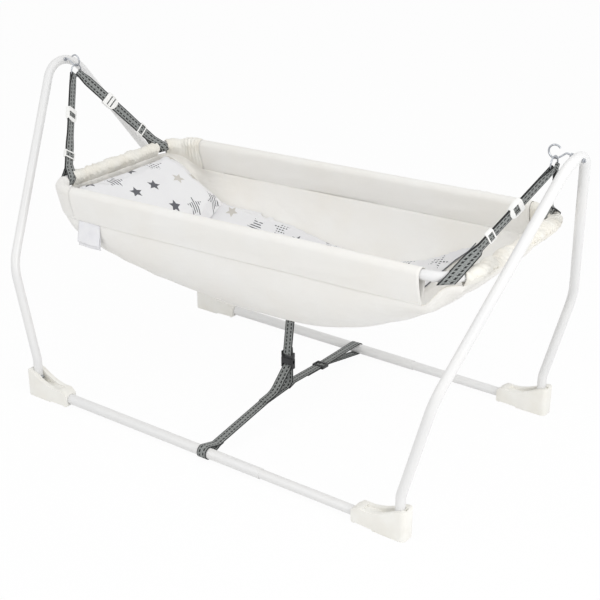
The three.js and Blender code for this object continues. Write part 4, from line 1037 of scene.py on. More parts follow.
    def cloth_grid(self, offset: float, us: Sequence[float], vs: Sequence[float]) -> np.ndarray:
        """The cloth's points at an offset from its outside, with its folds, in rows along it."""
        return np.array([[self.above(u, v, offset + self.fold(u, v) + self.drape(u, v) + self.gather(u, v))
                          for v in vs] for u in us])

    def nearest(self, place: Vector) -> tuple[Vector, float, float]:
        """A place of the row frame in the rail's frame, and the u and v of the surface below it."""
        local = self.place.inverted() @ place
        u = clamp(local.x / self.half_length, -0.995, 0.995)
        return local, u, acos(clamp(-local.y / self.half_width_at(u), -1)) / pi


@dataclass
class Hammock:
    """The oval rail, the sleeves round it, the cloth, its hems and the sewn tag."""

    shop: Workshop
    shape: HammockShape
    rail_radius: float = 0.011
    half_width: float = 0.238
    bow_leg: float = 0.040
    cloth_thickness: float = 0.0009
    gathered_thickness: float = 0.0006
    sleeve_radius: float = 0.0137
    stitch_drop: float = 0.0662
    stitches: int = 180
    seam_half: float = 0.0012
    tag_width: float = 0.068

    def build(self) -> None:
        """Builds the hammock."""
        self.rails()
        for side in Side:
            self.long_sleeve(side)
            self.seam(side)
        for end in End:
            self.end_sleeve(end)
        self.cloth()
        self.rim_hem()
        self.tag()

    def rails(self) -> None:
        """The bent bows and the straight rails that plug into them."""
        shape = self.shape
        palette = self.shop.palette
        for end in End:
            start = shape.corner_x - self.bow_leg
            corners = [Vector((x * end.value, y, 0)) for x, y in (
                (start, -self.half_width), (shape.half_length, -self.half_width),
                (shape.half_length, self.half_width), (start, self.half_width))]
            path = [shape.world(p) for p in rounded_path(corners, [shape.corner_radius] * 2, 16)]
            bow = tube(f"end_bow_{word(end)}_steel", path, self.rail_radius, palette.enamel, 28)
            self.shop.stand_in(bow, f"end_bow_{word(end)}")
        for side in Side:
            self.shop.eased(f"rail_{word(side)}", "steel", palette.enamel, 0.3 * MM)

    def sleeve_section(self, x: float, side: Side, sag: float) -> list[Vector]:
        """The section of a long sleeve: over the rail and down to its stitch line.

        Args:
            x: The place along the rail.
            side: Which sleeve.
            sag: How far the pocket's walls belly out.

        Returns:
            A closed row of points in the rail's frame.
        """
        radius, drop, half = self.sleeve_radius, self.stitch_drop, self.seam_half
        row = [(radius * cos(turn), radius * sin(turn))
               for turn in spaced(radians(-8), radians(188), 20)]
        row += [(lerp(-radius, -half, t) - sag * sin(pi * t), lerp(-0.004, -drop, t))
                for t in spaced(0.08, 1, 9)]
        row += [(lerp(half, radius, t) + sag * sin(pi * t), lerp(-drop, -0.004, t))
                for t in spaced(0, 0.92, 9)]
        return [Vector((x, self.half_width * side.value + y * side.value, z)) for y, z in (*row, row[0])]

    def crumple(self, point: Vector, side: Side) -> Vector:
        """How far the folds move a point of a long sleeve; the back one also rucks up along its rail."""
        x, down = point.x, clamp(-point.z / 0.066)
        long_fold = ripple(x * 5 + down * 1.2, down * 2.4, 7.0 * side.value)
        short_fold = ripple(x * 24 + down * 2, down * 2.2, 3.0 * side.value)
        pinch = ripple(x * 70, down * 4, 5.0 * side.value) * smooth(down, 0.55, 0.95)
        waves = 0.0034 * long_fold * down + 0.0016 * short_fold * sin(pi * min(down + 0.1, 1))
        ruck = abs(ripple(x * 48, down * 1.5, 6.0)) * smooth(x, 0.22, 0.4) * (1 - down)
        return Vector((0, (waves + 0.0007 * pinch) * side.value, 0.007 * ruck if side is Side.BACK else 0.0))

    def long_sleeve(self, side: Side) -> None:
        """The flat pocket of cloth that a side rail runs through."""
        shape = self.shape
        rows = []
        for x in spaced(-shape.sleeve_half, shape.sleeve_half, 150):
            sag = 0.0008 + 0.0014 * (0.5 + 0.5 * ripple(x * 9, 2.0 * side.value, 0))
            rows.append([shape.world(p + self.crumple(p, side)) for p in self.sleeve_section(x, side, sag)])
        name = f"sleeve_{word(side)}"
        piece = patch(name + "_cotton", np.array(rows), self.shop.palette.cotton, closed=True)
        thicken(piece, self.cloth_thickness)
        self.shop.stand_in(piece, name)

    def seam(self, side: Side) -> None:
        """The row of stitches that closes a long sleeve, one every 3 mm, drawn at 5.3 mm to show."""
        bm = bmesh.new()
        shape = self.shape
        reach = shape.sleeve_half - 0.004
        for x in spaced(-reach, reach, self.stitches - 1):
            spot = shape.world(Vector((x, (self.half_width + 0.0014) * side.value, -0.0615)))
            made = bmesh.ops.create_cube(bm, size=1.0)["verts"]
            bmesh.ops.scale(bm, vec=(0.0034, 0.0007, 0.0007), verts=made)
            bmesh.ops.rotate(bm, cent=(0, 0, 0), matrix=Matrix.Rotation(-shape.tilt, 3, "Y"), verts=made)
            bmesh.ops.translate(bm, vec=spot, verts=made)
        bm.loops.layers.uv.new(CLOTH_MAP)
        piece = finished(f"sleeve_{word(side)}_stitches", bm, self.shop.palette.thread)
        self.shop.beside(piece, f"sleeve_{word(side)}")

    def gathered_sleeve(self, name: str, end: End, start: float, finish: float, plain: bool) -> Object:
        """A gathered sleeve round a stretch of a bow, down to the rim of the hammock's cloth.

        Args:
            name: The piece's name.
            end: Which end's bow.
            start: Where it starts, round the bow from the middle of the end.
            finish: Where it stops.
            plain: Whether it carries the long sleeve on round the corner, with few gathers.

        Returns:
            The sleeve.
        """
        shape = self.shape
        fabric = self.shop.palette.cotton if plain else self.shop.palette.ruffle
        # How tight the sleeve lies on the bow, how far its puffs stand off, and how far down it hangs at least.
        tight, loose, hang = (0.0128, 0.0016, 0.0668) if plain else (self.rail_radius + 0.0011, 0.0065, 0.0)
        rows = []
        for reach in spaced(start, finish, max(int(abs(finish - start) / 0.0016), 20)):
            centre, out = shape.bow_point(end, reach)
            rim = max(shape.rim_at(centre.x / shape.half_length) + 0.0022, hang)
            shut = min(abs(reach - start), abs(reach - finish))
            near = (1 - 0.75 * exp(-shut / 0.004)) * loose
            row = []
            for turn in spaced(radians(-15), radians(195), 20):
                puff = shape.puff(end, reach + 0.011 * sin(turn * 0.9 - 0.6))
                radius = tight + puff * near
                row.append(centre + out * (radius * cos(turn)) + Z_AXIS * (radius * sin(turn)))
            puff = shape.puff(end, reach)
            wall = tight + puff * near
            for sign, shares in ((-1, spaced(0.12, 1, 7)), (1, spaced(0.88, 0, 6))):
                for share in shares:
                    width = lerp(wall * 0.97, self.seam_half, share) + 0.4 * puff * sin(pi * share) * near
                    row.append(centre + out * (width * sign) - Z_AXIS * lerp(0.0034, rim, share))
            row.append(row[0])
            rows.append([shape.world(p) for p in row])
        piece = patch(name, np.array(rows), fabric, closed=True)
        return thicken(piece, self.gathered_thickness)

    def end_sleeve(self, end: End) -> None:
        """The gathered sleeves round an end bow, between the straps' loops and the long sleeves."""
        shape = self.shape
        name = f"end_sleeve_{word(end)}"
        quarter = shape.corner_y + shape.corner_radius * pi / 2 + shape.corner_x - shape.sleeve_half
        head = end is End.LEFT
        stop = shape.corner_y + 0.0015 if head else shape.corner_y + shape.corner_radius * radians(36)
        again = shape.corner_y + shape.corner_radius * radians(22 if head else 64)
        stretches = {"cotton": (-stop, stop), "back_corner": (again, quarter)}
        if head:
            stretches["front_corner"] = (-quarter - 0.004, -again)
        for part, (start, finish) in stretches.items():
            piece = self.gathered_sleeve(f"{name}_{part}", end, start, finish, part == "front_corner")
            self.shop.stand_in(piece, name)
            width, _, area = sheet_size(piece)
            LOG.info("%s is cut %.3f wide and %.3f m long", piece.name, width, area / width)

    def cloth(self) -> None:
        """The outer cloth and the lining inside it."""
        us = [sin(pi / 2 * s) for s in spaced(-1, 1, 124)]
        vs = spaced(0, 1, 190)
        palette = self.shop.palette
        for name, offset, fabric in (("hammock_outer_cotton", 0.0004, palette.cotton),
                                     ("hammock_lining_cotton", 0.0018, palette.lining)):
            piece = patch(name, self.shape.cloth_grid(offset, us, vs), fabric)
            thicken(piece, self.cloth_thickness)
            self.shop.stand_in(piece, "hammock_cloth")
            width, length, area = sheet_size(piece)
            LOG.info("%s measures %.3f by %.3f m, %.3f m2", name, width, length, area)

    def rim_hem(self) -> None:
        """The rolled hem along the cloth's free rim at the front corner of the foot end."""
        path = [Vector(row[0]) for row in self.shape.cloth_grid(0.0012, spaced(0.845, 0.962, 20), [0.0])]
        piece = tube("hammock_rim_hem", path, 0.0017, self.shop.palette.ruffle, 10)
        mapped(piece)
        self.shop.beside(piece, "hammock_cloth")

    def tag(self) -> None:
        """Two bare satin leaves that hang from the front sleeve's seam and curl a little."""
        left = -0.76 * self.shape.half_length - self.tag_width / 2
        for name, lift, length, curl in (("sewn_tag_back_leaf", 0.0004, 0.064, 0.004),
                                         ("sewn_tag_front_leaf", 0.0017, 0.054, 0.009)):
            def spot(x: float, z: float) -> Vector:
                """A point of the leaf, x along the seam and z down from it."""
                share, part = z / length, x / self.tag_width
                wave = 0.0012 * sin(x * 120 + z * 60) * share
                out = lift + curl * share ** 2 * (0.4 + 0.6 * part) + wave + 0.001 * share
                return self.shape.world(Vector((left + x - 0.006 * share * (1 - part), -0.2384 - out,
                                                -0.0663 - z + 0.002 * share * share)))

            rows = [[spot(x, z) for z in spaced(0, length, 20)] for x in spaced(0, self.tag_width, 24)]
            piece = patch(name, np.array(rows), self.shop.palette.satin)
            thicken(piece, 0.0005)
            self.shop.stand_in(piece, "sewn_tag")


@dataclass
class Bedding:
    """The mattress and the pillow, padded by a cloth simulation, with the mattress's piping.

    All heights are measured inwards from the outside of the hammock's cloth.
    """

    shop: Workshop
    shape: HammockShape
    base: float = 0.0029
    voxel: float = 0.005
    frames: int = 20
    head: float = -0.895
    foot_end: float = 0.635
    pillow_ends: tuple[float, float] = (-0.983, -0.665)
    pillow_side: float = 0.155
    pillow_fall: float = 0.114

    def build(self) -> None:
        """Builds the mattress, the pillow and the piping."""
        self.mattress()
        self.pillow()
        self.piping()

    def mattress_top(self, u: float, v: float) -> float:
        """The height of the mattress's top."""
        along, across = (u + 0.9) / (0.64 + 0.9), (v - 0.15) / (1 - 0.15 * 2)
        crown = sqrt(max(sin(pi * clamp(along)), 0) * max(sin(pi * clamp(across)), 0))
        return 0.0027 + lerp(0.007, 0.024, crown)

    def mattress_side(self, u: float) -> float:
        """How far in from the rim the mattress's long edges lie, which rise at its foot end."""
        return float(np.interp(u, (-0.9, -0.5, -0.25, 0.0, 0.3, 0.46, 0.56, 0.64),
                               (0.15, 0.12, 0.14, 0.18, 0.2, 0.17, 0.11, 0.08)))

    def foot(self, v: float) -> float:
        """Where the mattress ends along the hammock, at v across it: its foot lies a little askew."""
        return float(np.interp(v, (0.0, 0.45, 0.72, 0.8, 0.86, 0.96),
                               (0.45, 0.47, 0.52, 0.555, 0.6, 0.635)))

    def pad(self, name: str, below: np.ndarray, above: np.ndarray) -> Object:
        """A closed pad between two skins, before it is padded out.

        Args:
            name: The piece's name.
            below: The points of its underside.
            above: The points of its top.

        Returns:
            The pad.
        """
        bm = bmesh.new()
        for points in (below, above):
            sheet = patch("half_" + name, points, self.shop.palette.print)
            bm.from_mesh(sheet.data)
            bpy.data.objects.remove(sheet)
        bmesh.ops.bridge_loops(bm, edges=[e for e in bm.edges if e.is_boundary])
        bmesh.ops.recalc_face_normals(bm, faces=bm.faces)
        return finished(name, bm, self.shop.palette.print, limit=1.2)

    def pad_out(self, piece: Object, cap: float, pressure: float) -> None:
        """Swells a pad by simulating its cover, and caps how far each point goes.

        Args:
            piece: The pad.
            cap: The furthest that a point may move, in metres.
            pressure: The cover's inner pressure.
        """
        remesh = piece.modifiers.new("voxels", "REMESH")
        remesh.mode = "VOXEL"
        remesh.voxel_size = self.voxel
        bake(piece)
        rest = np.array([v.co for v in piece.data.vertices])
        cover = piece.modifiers.new("cover", "CLOTH")
        for name, value in (("quality", 5), ("mass", 0.2), ("tension_stiffness", 12), ("compression_stiffness", 12),
                            ("shear_stiffness", 6), ("bending_stiffness", 0.4), ("use_pressure", True),
                            ("uniform_pressure_force", pressure)):
            setattr(cover.settings, name, value)
        cover.settings.effector_weights.gravity = 0
        cover.point_cache.frame_start = 1
        cover.point_cache.frame_end = self.frames
        scene = bpy.context.scene
        for frame_number in range(1, self.frames + 1):
            scene.frame_set(frame_number)
        bake(piece)
        scene.frame_set(1)
        steps = np.array([v.co for v in piece.data.vertices]) - rest
        lengths = np.linalg.norm(steps, axis=1, keepdims=True)
        steps *= np.minimum(1, cap / np.maximum(lengths, 1e-9))
        piece.data.vertices.foreach_set("co", (rest + steps).ravel())
        piece.data.update()

    def keep_above(self, piece: Object, low: Callable[[float, float], float]) -> None:
        """Lifts what has swollen into the cloth or the pad below back onto it.

        Args:
            piece: The pad.
            low: The height that no point may lie under.
        """
        shape = self.shape
        for vert in piece.data.vertices:
            local, u, v = shape.nearest(vert.co)
            inward = shape.inward(u, v)
            missing = low(u, v) + shape.fold(u, v) - (local - shape.point(u, v)).dot(inward)
            if missing > 0:
                vert.co = shape.world(local + inward * missing)

    def drape_map(self, piece: Object) -> None:
        """Lays a map in metres over a pad that follows the cloth: along it, and round its section."""
        shape = self.shape
        arcs = []
        for k in range(101):
            spots = [shape.point((k - 50) / 50, v) for v in spaced(0, 1, 60)]
            arcs.append(np.concatenate([[0], np.cumsum([(b - a).length for a, b in zip(spots, spots[1:])])]))
        flat = []
        for vert in piece.data.vertices:
            local, u, v = shape.nearest(vert.co)
            section = arcs[round(u * 50) + 50]
            flat.append((local.x, float(np.interp(v * 60, range(61), section)) - section[-1] / 2))
        lay_map(piece, flat)

    def mattress(self) -> None:
        """The thin printed mattress along the belly."""
        shape = self.shape

        def skin(height: Callable[[float, float], float]) -> np.ndarray:
            """The points of one of its skins."""
            rows = []
            for even in spaced(self.head, self.foot_end, 96):
                side = self.mattress_side(even)
                row = []
                for v in spaced(side, 1 - side, 56):
                    share = (even - self.head) / (self.foot_end - self.head)
                    u = self.head + share * (self.foot(v) - self.head)
                    row.append(shape.above(u, v, height(even, v) + shape.fold(u, v)))
                rows.append(row)
            return np.array(rows)

        piece = self.pad("mattress_pad", skin(lambda u, v: self.base + 0.001),
                         skin(lambda u, v: self.mattress_top(u, v) - 0.002))
        self.pad_out(piece, 0.006, 3.0)
        self.keep_above(piece, lambda u, v: self.base)
        self.drape_map(piece)
        self.finish_pad(piece, "mattress")

    def pillow(self) -> None:
        """The thick printed pillow that fills the head end up to a sloping plane."""
        shape = self.shape
        below, above = [], []
        for u in spaced(*self.pillow_ends, 44):
            along = (u - self.pillow_ends[0]) / (self.pillow_ends[1] - self.pillow_ends[0])
            plane = -lerp(0.003, self.pillow_fall, along)
            low_row, high_row = [], []
            for v in spaced(self.pillow_side, 1 - self.pillow_side, 60):
                across = (v - self.pillow_side) / (1 - self.pillow_side * 2)
                low = shape.point(u, v) + shape.inward(u, v) * (self.mattress_top(u, v) + 0.002 + shape.fold(u, v))
                edge = min(along / 0.07, (1 - along) / 0.25, across / 0.1, (1 - across) / 0.1, 1)
                rounding = sqrt(1 - (1 - edge) ** 2)
                high = low + Z_AXIS * (0.006 + max(plane - low.z - 0.006, 0) * rounding)
                low_row.append(shape.world(low))
                high_row.append(shape.world(high))
            below.append(low_row)
            above.append(high_row)
        piece = self.pad("pillow_pad", np.array(below), np.array(above))
        self.pad_out(piece, 0.009, 4.0)
        self.keep_above(piece, lambda u, v: self.mattress_top(u, v) + 0.0015)
        slope = atan2(0.112, 0.184)
        inverse = shape.place.inverted()
        spots = [inverse @ vert.co for vert in piece.data.vertices]
        # The map's two offsets only place the stars.
        lay_map(piece, [(p.x * cos(slope) - p.z * sin(slope) + 0.013, p.y + 0.021) for p in spots])
        self.finish_pad(piece, "pillow")

    def finish_pad(self, piece: Object, cad_node: str) -> None:
        """Smooths a pad's skin, dresses it and puts it in place of its CAD solid."""
        relax = piece.modifiers.new("relax", "SMOOTH")
        relax.factor = 0.5
        relax.iterations = 4
        skin = piece.modifiers.new("skin", "SUBSURF")
        skin.levels = 1
        skin.render_levels = 1
        piece.data.materials.clear()
        piece.data.materials.append(self.shop.palette.print)
        for polygon in piece.data.polygons:
            polygon.use_smooth = True
        self.shop.stand_in(piece, cad_node)

    def piping(self) -> None:
        """The dark grey cord sewn into the edge of the mattress at its foot end."""
        shape = self.shape
        path = []
        for v in spaced(0.1, 0.915, 60):
            u = self.foot(v) + 0.004
            path.append(shape.above(u, v, self.base + 0.008 + shape.fold(u, v)))
        cord = tube("mattress_piping", path, 0.0015, self.shop.palette.piping, 10)
        mapped(cord)
        self.shop.beside(cord, "mattress")


# Webbing


WEBBING_WIDTH = 0.025
PLY_GAP = 0.0022


@dataclass
class Station:
    """One cross line of a webbing strap."""

    point: Vector
    across: Vector
    width: float = WEBBING_WIDTH

    def at(self, share: float) -> Vector:
        """A point of the cross line, from -0.5 at one edge to 0.5 at the other."""
        return self.point + self.across * (self.width * share)


def webbing(name: str, stations: Sequence[Station], material: Material) -> Object:
    """A flat woven strap through its stations, 1.4 mm thick."""
    rows = np.array([[s.at(share) for share in spaced(-0.5, 0.5, 4)] for s in stations])
    return thicken(patch(name, rows, material, span=WEBBING_WIDTH), 0.0014)


@dataclass
class HangingStrap:
    """A band of webbing through a ring and round a corner of the rail, with its adjuster and keeper."""

    shop: Workshop
    shape: HammockShape
    hanger: Suspension
    end: End
    side: Side
    seam_share: float
    ring_angle: float = radians(47)
    wrap_radius: float = 0.0037
    gather_length: float = 0.032
    gathered: float = 0.016
    slant_length: float = 0.034
    seam_half: float = 0.0003
    twist_length: float = 0.036
    rail_wrap: float = 0.0143

    def __post_init__(self) -> None:
        """Works out the strap's line, from its ring to its corner of the rail."""
        sx, sy = self.end.value, self.side.value
        head = self.end is End.LEFT
        self.join_length = 0.036 if head else 0.050
        angle = radians(10 if head else 50)
        twist_share = 0.62 if head else 0.775
        hang = pi / 2 - self.ring_angle
        shape = self.shape
        ring = self.hanger.ring_radius
        self.start = Vector((self.hanger.bowl_x * sx, ring * cos(hang) * sy,
                             self.hanger.ring_z - ring * sin(hang)))
        self.finish = shape.world(Vector(((shape.corner_x + shape.corner_radius * cos(angle)) * sx,
                                          (shape.corner_y + shape.corner_radius * sin(angle)) * sy, 0)))
        run = Vector((-sin(angle) * sx, cos(angle) * sy, 0))
        self.rail_run = (shape.place.to_3x3() @ run).normalized()
        self.down = (self.finish - self.start).normalized()
        self.ring_across = self.square(Vector((0, sin(hang) * sy, cos(hang))))
        self.rail_across = self.square(self.rail_run)
        if self.ring_across.dot(self.rail_across) < 0:
            self.ring_across.negate()
        self.twist = atan2(self.ring_across.cross(self.rail_across).dot(self.down),
                                self.ring_across.dot(self.rail_across))
        if self.rail_run.dot(self.rail_across) < 0:
            self.rail_run.negate()
        self.length = (self.finish - self.start).length
        self.twist_start = twist_share * self.length - self.twist_length / 2
        self.squareness = self.rail_run.dot(self.rail_across)
        self.skew = self.rail_run.dot(self.down) / self.squareness

    def square(self, vector: Vector) -> Vector:
        """A direction made square to the strap's line."""
        return (vector - self.down * vector.dot(self.down)).normalized()

    def across_at(self, distance: float) -> Vector:
        """The direction across the strap, which turns from the ring's to the rail's."""
        share = smooth(distance, self.twist_start, self.twist_start + self.twist_length)
        return Matrix.Rotation(self.twist * share, 3, self.down) @ self.ring_across

    def ply(self, distance: float, sign: int) -> Station:
        """A cross line of one of the two plies, which turns to the rail's slant near it."""
        gather = smooth(distance, 0, self.gather_length)
        half = PLY_GAP / 2
        spread = half + (self.wrap_radius - half) * (1 - gather)
        across = self.across_at(distance)
        point = self.start + self.down * distance + across.cross(self.down) * (spread * sign)
        last = self.length - self.join_length
        slant = self.skew * smooth(distance, last - self.slant_length, last)
        return Station(point, across + self.down * slant, lerp(self.gathered, WEBBING_WIDTH, gather))

    def ring_wrap(self, angle: float) -> Station:
        """A cross line of the loop through the ring."""
        face = self.ring_across.cross(self.down)
        point = self.start + face * (self.wrap_radius * cos(angle))
        point -= self.down * (self.wrap_radius + self.wrap_radius * sin(angle))
        return Station(point, self.ring_across, self.gathered)

    def rail_loop(self) -> list[Station]:
        """The cross lines round the rail, which the strap crosses at a slant."""
        face = self.rail_across.cross(self.down)
        half = PLY_GAP / 2
        lead = -self.join_length * self.squareness
        line = around(Vector((lead, -half)), Vector((0, 0)), self.rail_wrap, Vector((lead, half)), 1, 28)
        first, last = line[1], line[-2]
        line = [line[0].lerp(first, s) for s in spaced(0, 1, 4)[:-1]] + line[1:-1]
        line += [last.lerp(Vector((lead, half)), s) for s in spaced(0, 1, 4)[1:]]
        across = self.rail_run / self.squareness
        return [Station(self.finish + self.down * (p.x / self.squareness) + face * p.y, across) for p in line]

    def stations(self, seam: float) -> list[Station]:
        """The strap's cross lines, from its sewn seam up, round the ring, down, round the rail and back."""
        last = self.length - self.join_length
        down = sorted({*spaced(0, self.gather_length, 8), *spaced(self.gather_length, last, 44)[1:],
                       *spaced(self.twist_start, self.twist_start + self.twist_length, 8)[1:-1]})
        above = [d for d in down if d < seam - self.seam_half - 0.0001]
        below = [d for d in down if seam + self.seam_half + 0.0001 < d < last]
        return [*(self.ply(d, 1) for d in (seam - self.seam_half, *reversed(above))),
                *(self.ring_wrap(a) for a in spaced(0, pi, 14)),
                *(self.ply(d, -1) for d in down[:-1]),
                *self.rail_loop(),
                *(self.ply(d, 1) for d in (*reversed(below), seam + self.seam_half))]

    def fitting_place(self, distance: float) -> Matrix:
        """Where a fitting sits on the strap, its width along X, the strap along Y."""
        across, up = self.across_at(distance), -self.down
        turn = Matrix((across, up, across.cross(up))).transposed().to_4x4()
        return Matrix.Translation(self.start + self.down * distance) @ turn

    def build(self) -> None:
        """Builds the strap and dresses its fittings."""
        place = f"{word(self.end)}_{word(self.side)}"
        palette = self.shop.palette
        seam = self.seam_share * self.length
        strap = webbing(f"hanging_strap_{place}_webbing", self.stations(seam), palette.webbing)
        self.shop.stand_in(strap, f"hanging_strap_{place}")
        self.shop.eased(f"strap_adjuster_{place}", "moulding", palette.fitting, 1.0 * MM, 3)
        self.shop.eased(f"strap_keeper_{place}", "moulding", palette.fitting, 0.8 * MM, 3)
        cam = self.cam(f"strap_adjuster_{place}_cam", self.fitting_place(seam))
        self.shop.beside(cam, f"strap_adjuster_{place}")

    def cam(self, name: str, place: Matrix) -> Object:
        """The ribbed bar across an adjuster's window that grips the strap."""
        bm = bmesh.new()
        bmesh.ops.create_cube(bm, size=1.0)
        bmesh.ops.scale(bm, vec=(0.026, 0.0075, 0.0022), verts=bm.verts)
        top = [f for f in bm.faces if f.normal.z > 0.9]
        bmesh.ops.inset_region(bm, faces=top, thickness=0.0008)
        split = [e for e in bm.edges if abs((e.verts[0].co - e.verts[1].co).x) > 0.02]
        bmesh.ops.subdivide_edges(bm, edges=split, cuts=12)
        ribs = [f for f in bm.faces if f.normal.z > 0.9 and f.calc_area() > 4e-6]
        for rib in ribs[::2]:
            raised = bmesh.ops.extrude_discrete_faces(bm, faces=[rib])["faces"]
            bmesh.ops.translate(bm, vec=(0, 0, 0.0006), verts=raised[0].verts)
        bmesh.ops.translate(bm, vec=(0, 0, 0.0038), verts=bm.verts)
        bmesh.ops.transform(bm, matrix=place, verts=bm.verts)
        return finished(name, bm, self.shop.palette.fitting)


@dataclass
class BrakeStrap:
    """The strap below the hammock that joins both base tubes and clips to the belly."""

    shop: Workshop
    shape: HammockShape
    stand: Stand
    x: float = 0.0055
    wrap: float = 0.01445
    bar_wrap: float = 0.00315
    seam_gap: float = 0.00185
    step: float = 0.008
    socket_bar_z: float = 0.1016
    plug_bar_z: float = 0.1366

    def __post_init__(self) -> None:
        """Finds the centre of the base tube, as Y and Z."""
        self.tube = Vector((-self.stand.spacing_y / 2, self.stand.base_z))

    def lay(self, points: Sequence[Vector], turn: float, slope: float = 0.0) -> list[Station]:
        """Cross lines of a strap whose line lies in a plane across the cradle.

        Args:
            points: The line, as Y and Z.
            turn: How far the plane is turned round the upright through the junction.
            slope: How far the line leans along X for each metre above the plug's bar.

        Returns:
            The cross lines, close enough together to bend.
        """
        spin = Matrix.Rotation(turn, 3, "Z")
        line = []
        for a, b in zip(points, points[1:]):
            line += [a.lerp(b, share) for share in spaced(0, 1, max(int((b - a).length / self.step), 1))[:-1]]
        return [Station(spin @ Vector((max(p.y - self.plug_bar_z, 0) * slope, p.x, p.y)) + X_AXIS * self.x,
                        spin @ X_AXIS) for p in (*line, points[-1])]

    def front_points(self) -> list[Vector]:
        """The front strap: its loop, its run to the junction, up through the socket and back over itself."""
        meet, slope = Vector((-0.284, 0.020)), Vector((-0.100, 0.047))
        run = (slope - meet).normalized()
        half = Vector((-run.y, run.x)) * (PLY_GAP / 2)
        tail = Vector((-0.272, meet.y + 0.012 * run.y / run.x))
        loop = around(meet - half, self.tube, self.wrap, meet + half, -1, 24)
        rise = arc(Vector((self.bar_wrap - 0.020, 0.070)), 0.020, -pi / 2, 0, 10)
        curve = Vector((-0.058, 0.054))
        over = around(rise[-1], Vector((0, self.socket_bar_z)), self.bar_wrap, curve, 1, 12)[1:-1]
        sewn = Vector((-0.104, slope.y + self.seam_gap))
        back = rounded_path([Vector((0, *p)) for p in (over[-1], curve, sewn)], [0.050], 8)
        return [tail - half, *loop, slope, *rise, *over, *(Vector((p.y, p.z)) for p in back[1:])]

    def back_points(self) -> list[Vector]:
        """The back strap: sewn under the junction, round its base tube and back under itself."""
        bend, peak = Vector((-0.172, 0.040)), Vector((-0.014, 0.0535))
        run = (peak - bend).normalized()
        meet = bend + Vector((run.y, -run.x)) * PLY_GAP
        loop = around(bend, self.tube, self.wrap, meet, 1, 24)
        return [Vector((0.012, 0.050 - self.seam_gap)), peak, *loop, meet + run * 0.100]

    def upper_points(self) -> tuple[list[Vector], float]:
        """The upper strap, from its tail round the plug's bar up to the belly, and its lean."""
        shape = self.shape
        lean = tan(radians(5.7))
        sewn_x = self.x + (shape.height - shape.depth - self.plug_bar_z) * lean
        belly = shape.world(shape.point((sewn_x - shape.shift) / shape.half_length, 0.5))
        flap = belly.z - 0.0005 - 0.00075
        radius = 0.004
        centre = Vector((radius - self.bar_wrap, flap - radius))
        bend = arc(centre, radius, pi, pi / 2, 6)
        tail = Vector((PLY_GAP - self.bar_wrap, self.plug_bar_z + 0.020))
        loop = around(tail, Vector((0, self.plug_bar_z)), self.bar_wrap, bend[0], -1, 12)
        return [*loop, *bend[1:], Vector((centre.x + 0.020, flap))], lean

    def build(self) -> None:
        """Builds the straps and dresses the ladder lock and the buckle."""
        fabric = self.shop.palette.webbing
        for cad_node, points, turn, far in (
                ("brake_strap_front", self.front_points(), radians(0.75), -0.16),
                ("brake_strap_back", self.back_points(), pi + radians(2.6), 0.1)):
            piece = webbing(cad_node + "_webbing", self.lay(points, turn), fabric)
            bake(piece)
            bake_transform(piece)
            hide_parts(cad_node)
            LOG.info("%s bends between the stand and the buckle's socket", piece.name)
        points, lean = self.upper_points()
        upper = webbing("brake_strap_upper_webbing", self.lay(points, 0.0, lean), fabric)
        self.shop.stand_in(upper, "brake_strap_upper")
        for cad_node, edge in (("brake_ladder_lock", 0.9), ("brake_buckle_socket", 1.0), ("brake_buckle_plug", 0.8)):
            self.shop.eased(cad_node, "moulding", self.shop.palette.black, edge * MM, 3)


# The studio


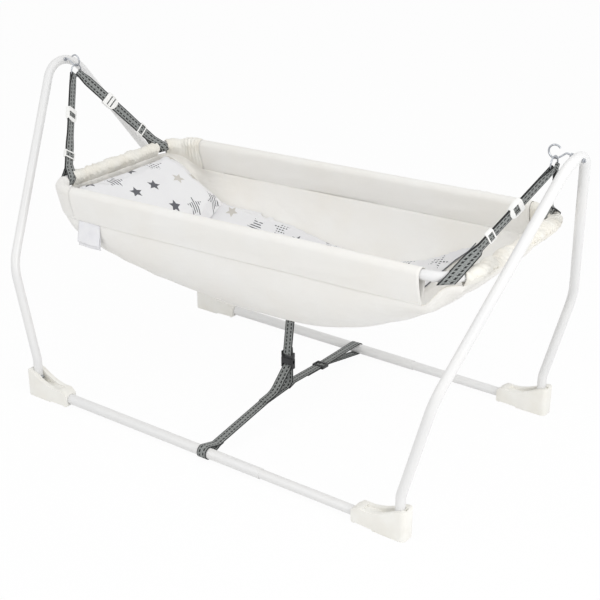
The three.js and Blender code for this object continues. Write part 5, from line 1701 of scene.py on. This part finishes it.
@dataclass
class Studio:
    """The white floor, the lamps and the camera at the photograph's place."""

    camera_at: tuple[float, float, float] = (1.6224, -2.1858, 1.4885)
    azimuth: float = radians(35.88)
    elevation: float = radians(24.0)
    lens: float = 74.76
    sensor: float = 36.0
    surround: float = 0.66
    floor_glow: float = 0.95
    aim: tuple[float, float, float] = (0, 0, 0.35)

    def camera(self) -> None:
        """Places the camera."""
        data = bpy.data.cameras.new("camera")
        data.lens = self.lens
        data.sensor_width = self.sensor
        camera = bpy.data.objects.new("camera", data)
        camera.location = self.camera_at
        camera.rotation_euler = (pi / 2 - self.elevation, 0, self.azimuth)
        bpy.context.scene.collection.objects.link(camera)
        bpy.context.scene.camera = camera

    def seen(self, tree: NodeTree) -> Node:
        """One for the rays that the camera sees directly, in a gloss or through glass, and zero for the rest."""
        path = node(tree, "LightPath")
        known = {kind: path.outputs[f"Is {kind} Ray"] for kind in ("Camera", "Glossy", "Transmission")}
        compute(tree, known, (("shown", "Math", "MAXIMUM", "Camera", "Glossy"),
                              ("seen", "Math", "MAXIMUM", "shown", "Transmission")))
        return known["seen"]

    def floor(self) -> None:
        """The pale floor, which reads white to the camera and still takes a faint shadow."""
        bm = bmesh.new()
        bmesh.ops.create_grid(bm, x_segments=1, y_segments=1, size=12)
        material = bpy.data.materials.new("studio_floor")
        material.use_nodes = True
        tree = material.node_tree
        tree.nodes.clear()
        paint = node(tree, "BsdfDiffuse", {"Color": linear("f4f4f4")})
        glow = node(tree, "Emission", {"Color": (1, 1, 1, 1), "Strength": 1.0})
        share = node(tree, "Math", {0: self.seen(tree), 1: self.floor_glow}, operation="MULTIPLY")
        mixed = node(tree, "MixShader", {0: share, 1: paint, 2: glow})
        node(tree, "OutputMaterial", {"Surface": mixed})
        finished("studio_floor", bm, material)

    def world(self) -> None:
        """A white surround for the camera, dimmer as a lamp."""
        world = bpy.data.worlds.new("studio")
        bpy.context.scene.world = world
        world.use_nodes = True
        tree = world.node_tree
        tree.nodes.clear()
        strength = node(tree, "MapRange", {0: self.seen(tree), 1: 0.0, 2: 1.0, 3: self.surround, 4: 1.0})
        light = node(tree, "Background", {"Color": (1, 1, 1, 1), "Strength": strength})
        node(tree, "OutputWorld", {"Surface": light})

    def lamp(self, name: str, place: tuple[float, float, float], size: float, power: float) -> None:
        """A square lamp that faces the cradle.

        Args:
            name: The lamp's name.
            place: Where it stands, in metres.
            size: The length of its side.
            power: In watts.
        """
        data = bpy.data.lights.new(name, "AREA")
        data.size = size
        data.energy = power
        lamp = bpy.data.objects.new(name, data)
        lamp.location = place
        lamp.rotation_euler = (Vector(self.aim) - Vector(place)).to_track_quat("-Z", "Y").to_euler()
        bpy.context.scene.collection.objects.link(lamp)

    def build(self) -> None:
        """Builds the studio."""
        self.camera()
        self.floor()
        self.world()
        for name, place, size, power in (("key_lamp", (-1.2, -2.8, 2.0), 2.1, 18),
                                         ("fill_lamp", (2.7, -0.9, 1.9), 2.0, 40),
                                         ("top_lamp", (0.2, 0.1, 3.2), 2.2, 8)):
            self.lamp(name, place, size, power)
        bpy.context.scene.view_settings.view_transform = "Standard"


# How far down its strap each adjuster sits, where the strap's ends are sewn round its bar.
ADJUSTER_SHARES = {(End.LEFT, Side.FRONT): 0.39, (End.LEFT, Side.BACK): 0.375,
                   (End.RIGHT, Side.FRONT): 0.365, (End.RIGHT, Side.BACK): 0.4}


def main() -> None:
    """Builds the cradle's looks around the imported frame."""
    logging.basicConfig(level=logging.INFO, format="%(name)s: %(message)s")
    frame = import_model()
    noise.seed_set(7)
    Studio().build()
    shop = Workshop(frame, Palette())
    stand = Stand(shop)
    stand.build()
    hanger = Suspension(shop, stand)
    hanger.build()
    shape = HammockShape()
    Hammock(shop, shape).build()
    Bedding(shop, shape).build()
    for (end, side), share in ADJUSTER_SHARES.items():
        HangingStrap(shop, shape, hanger, end, side, share).build()
    BrakeStrap(shop, shape, stand).build()


if __name__ == "__main__":
    main()
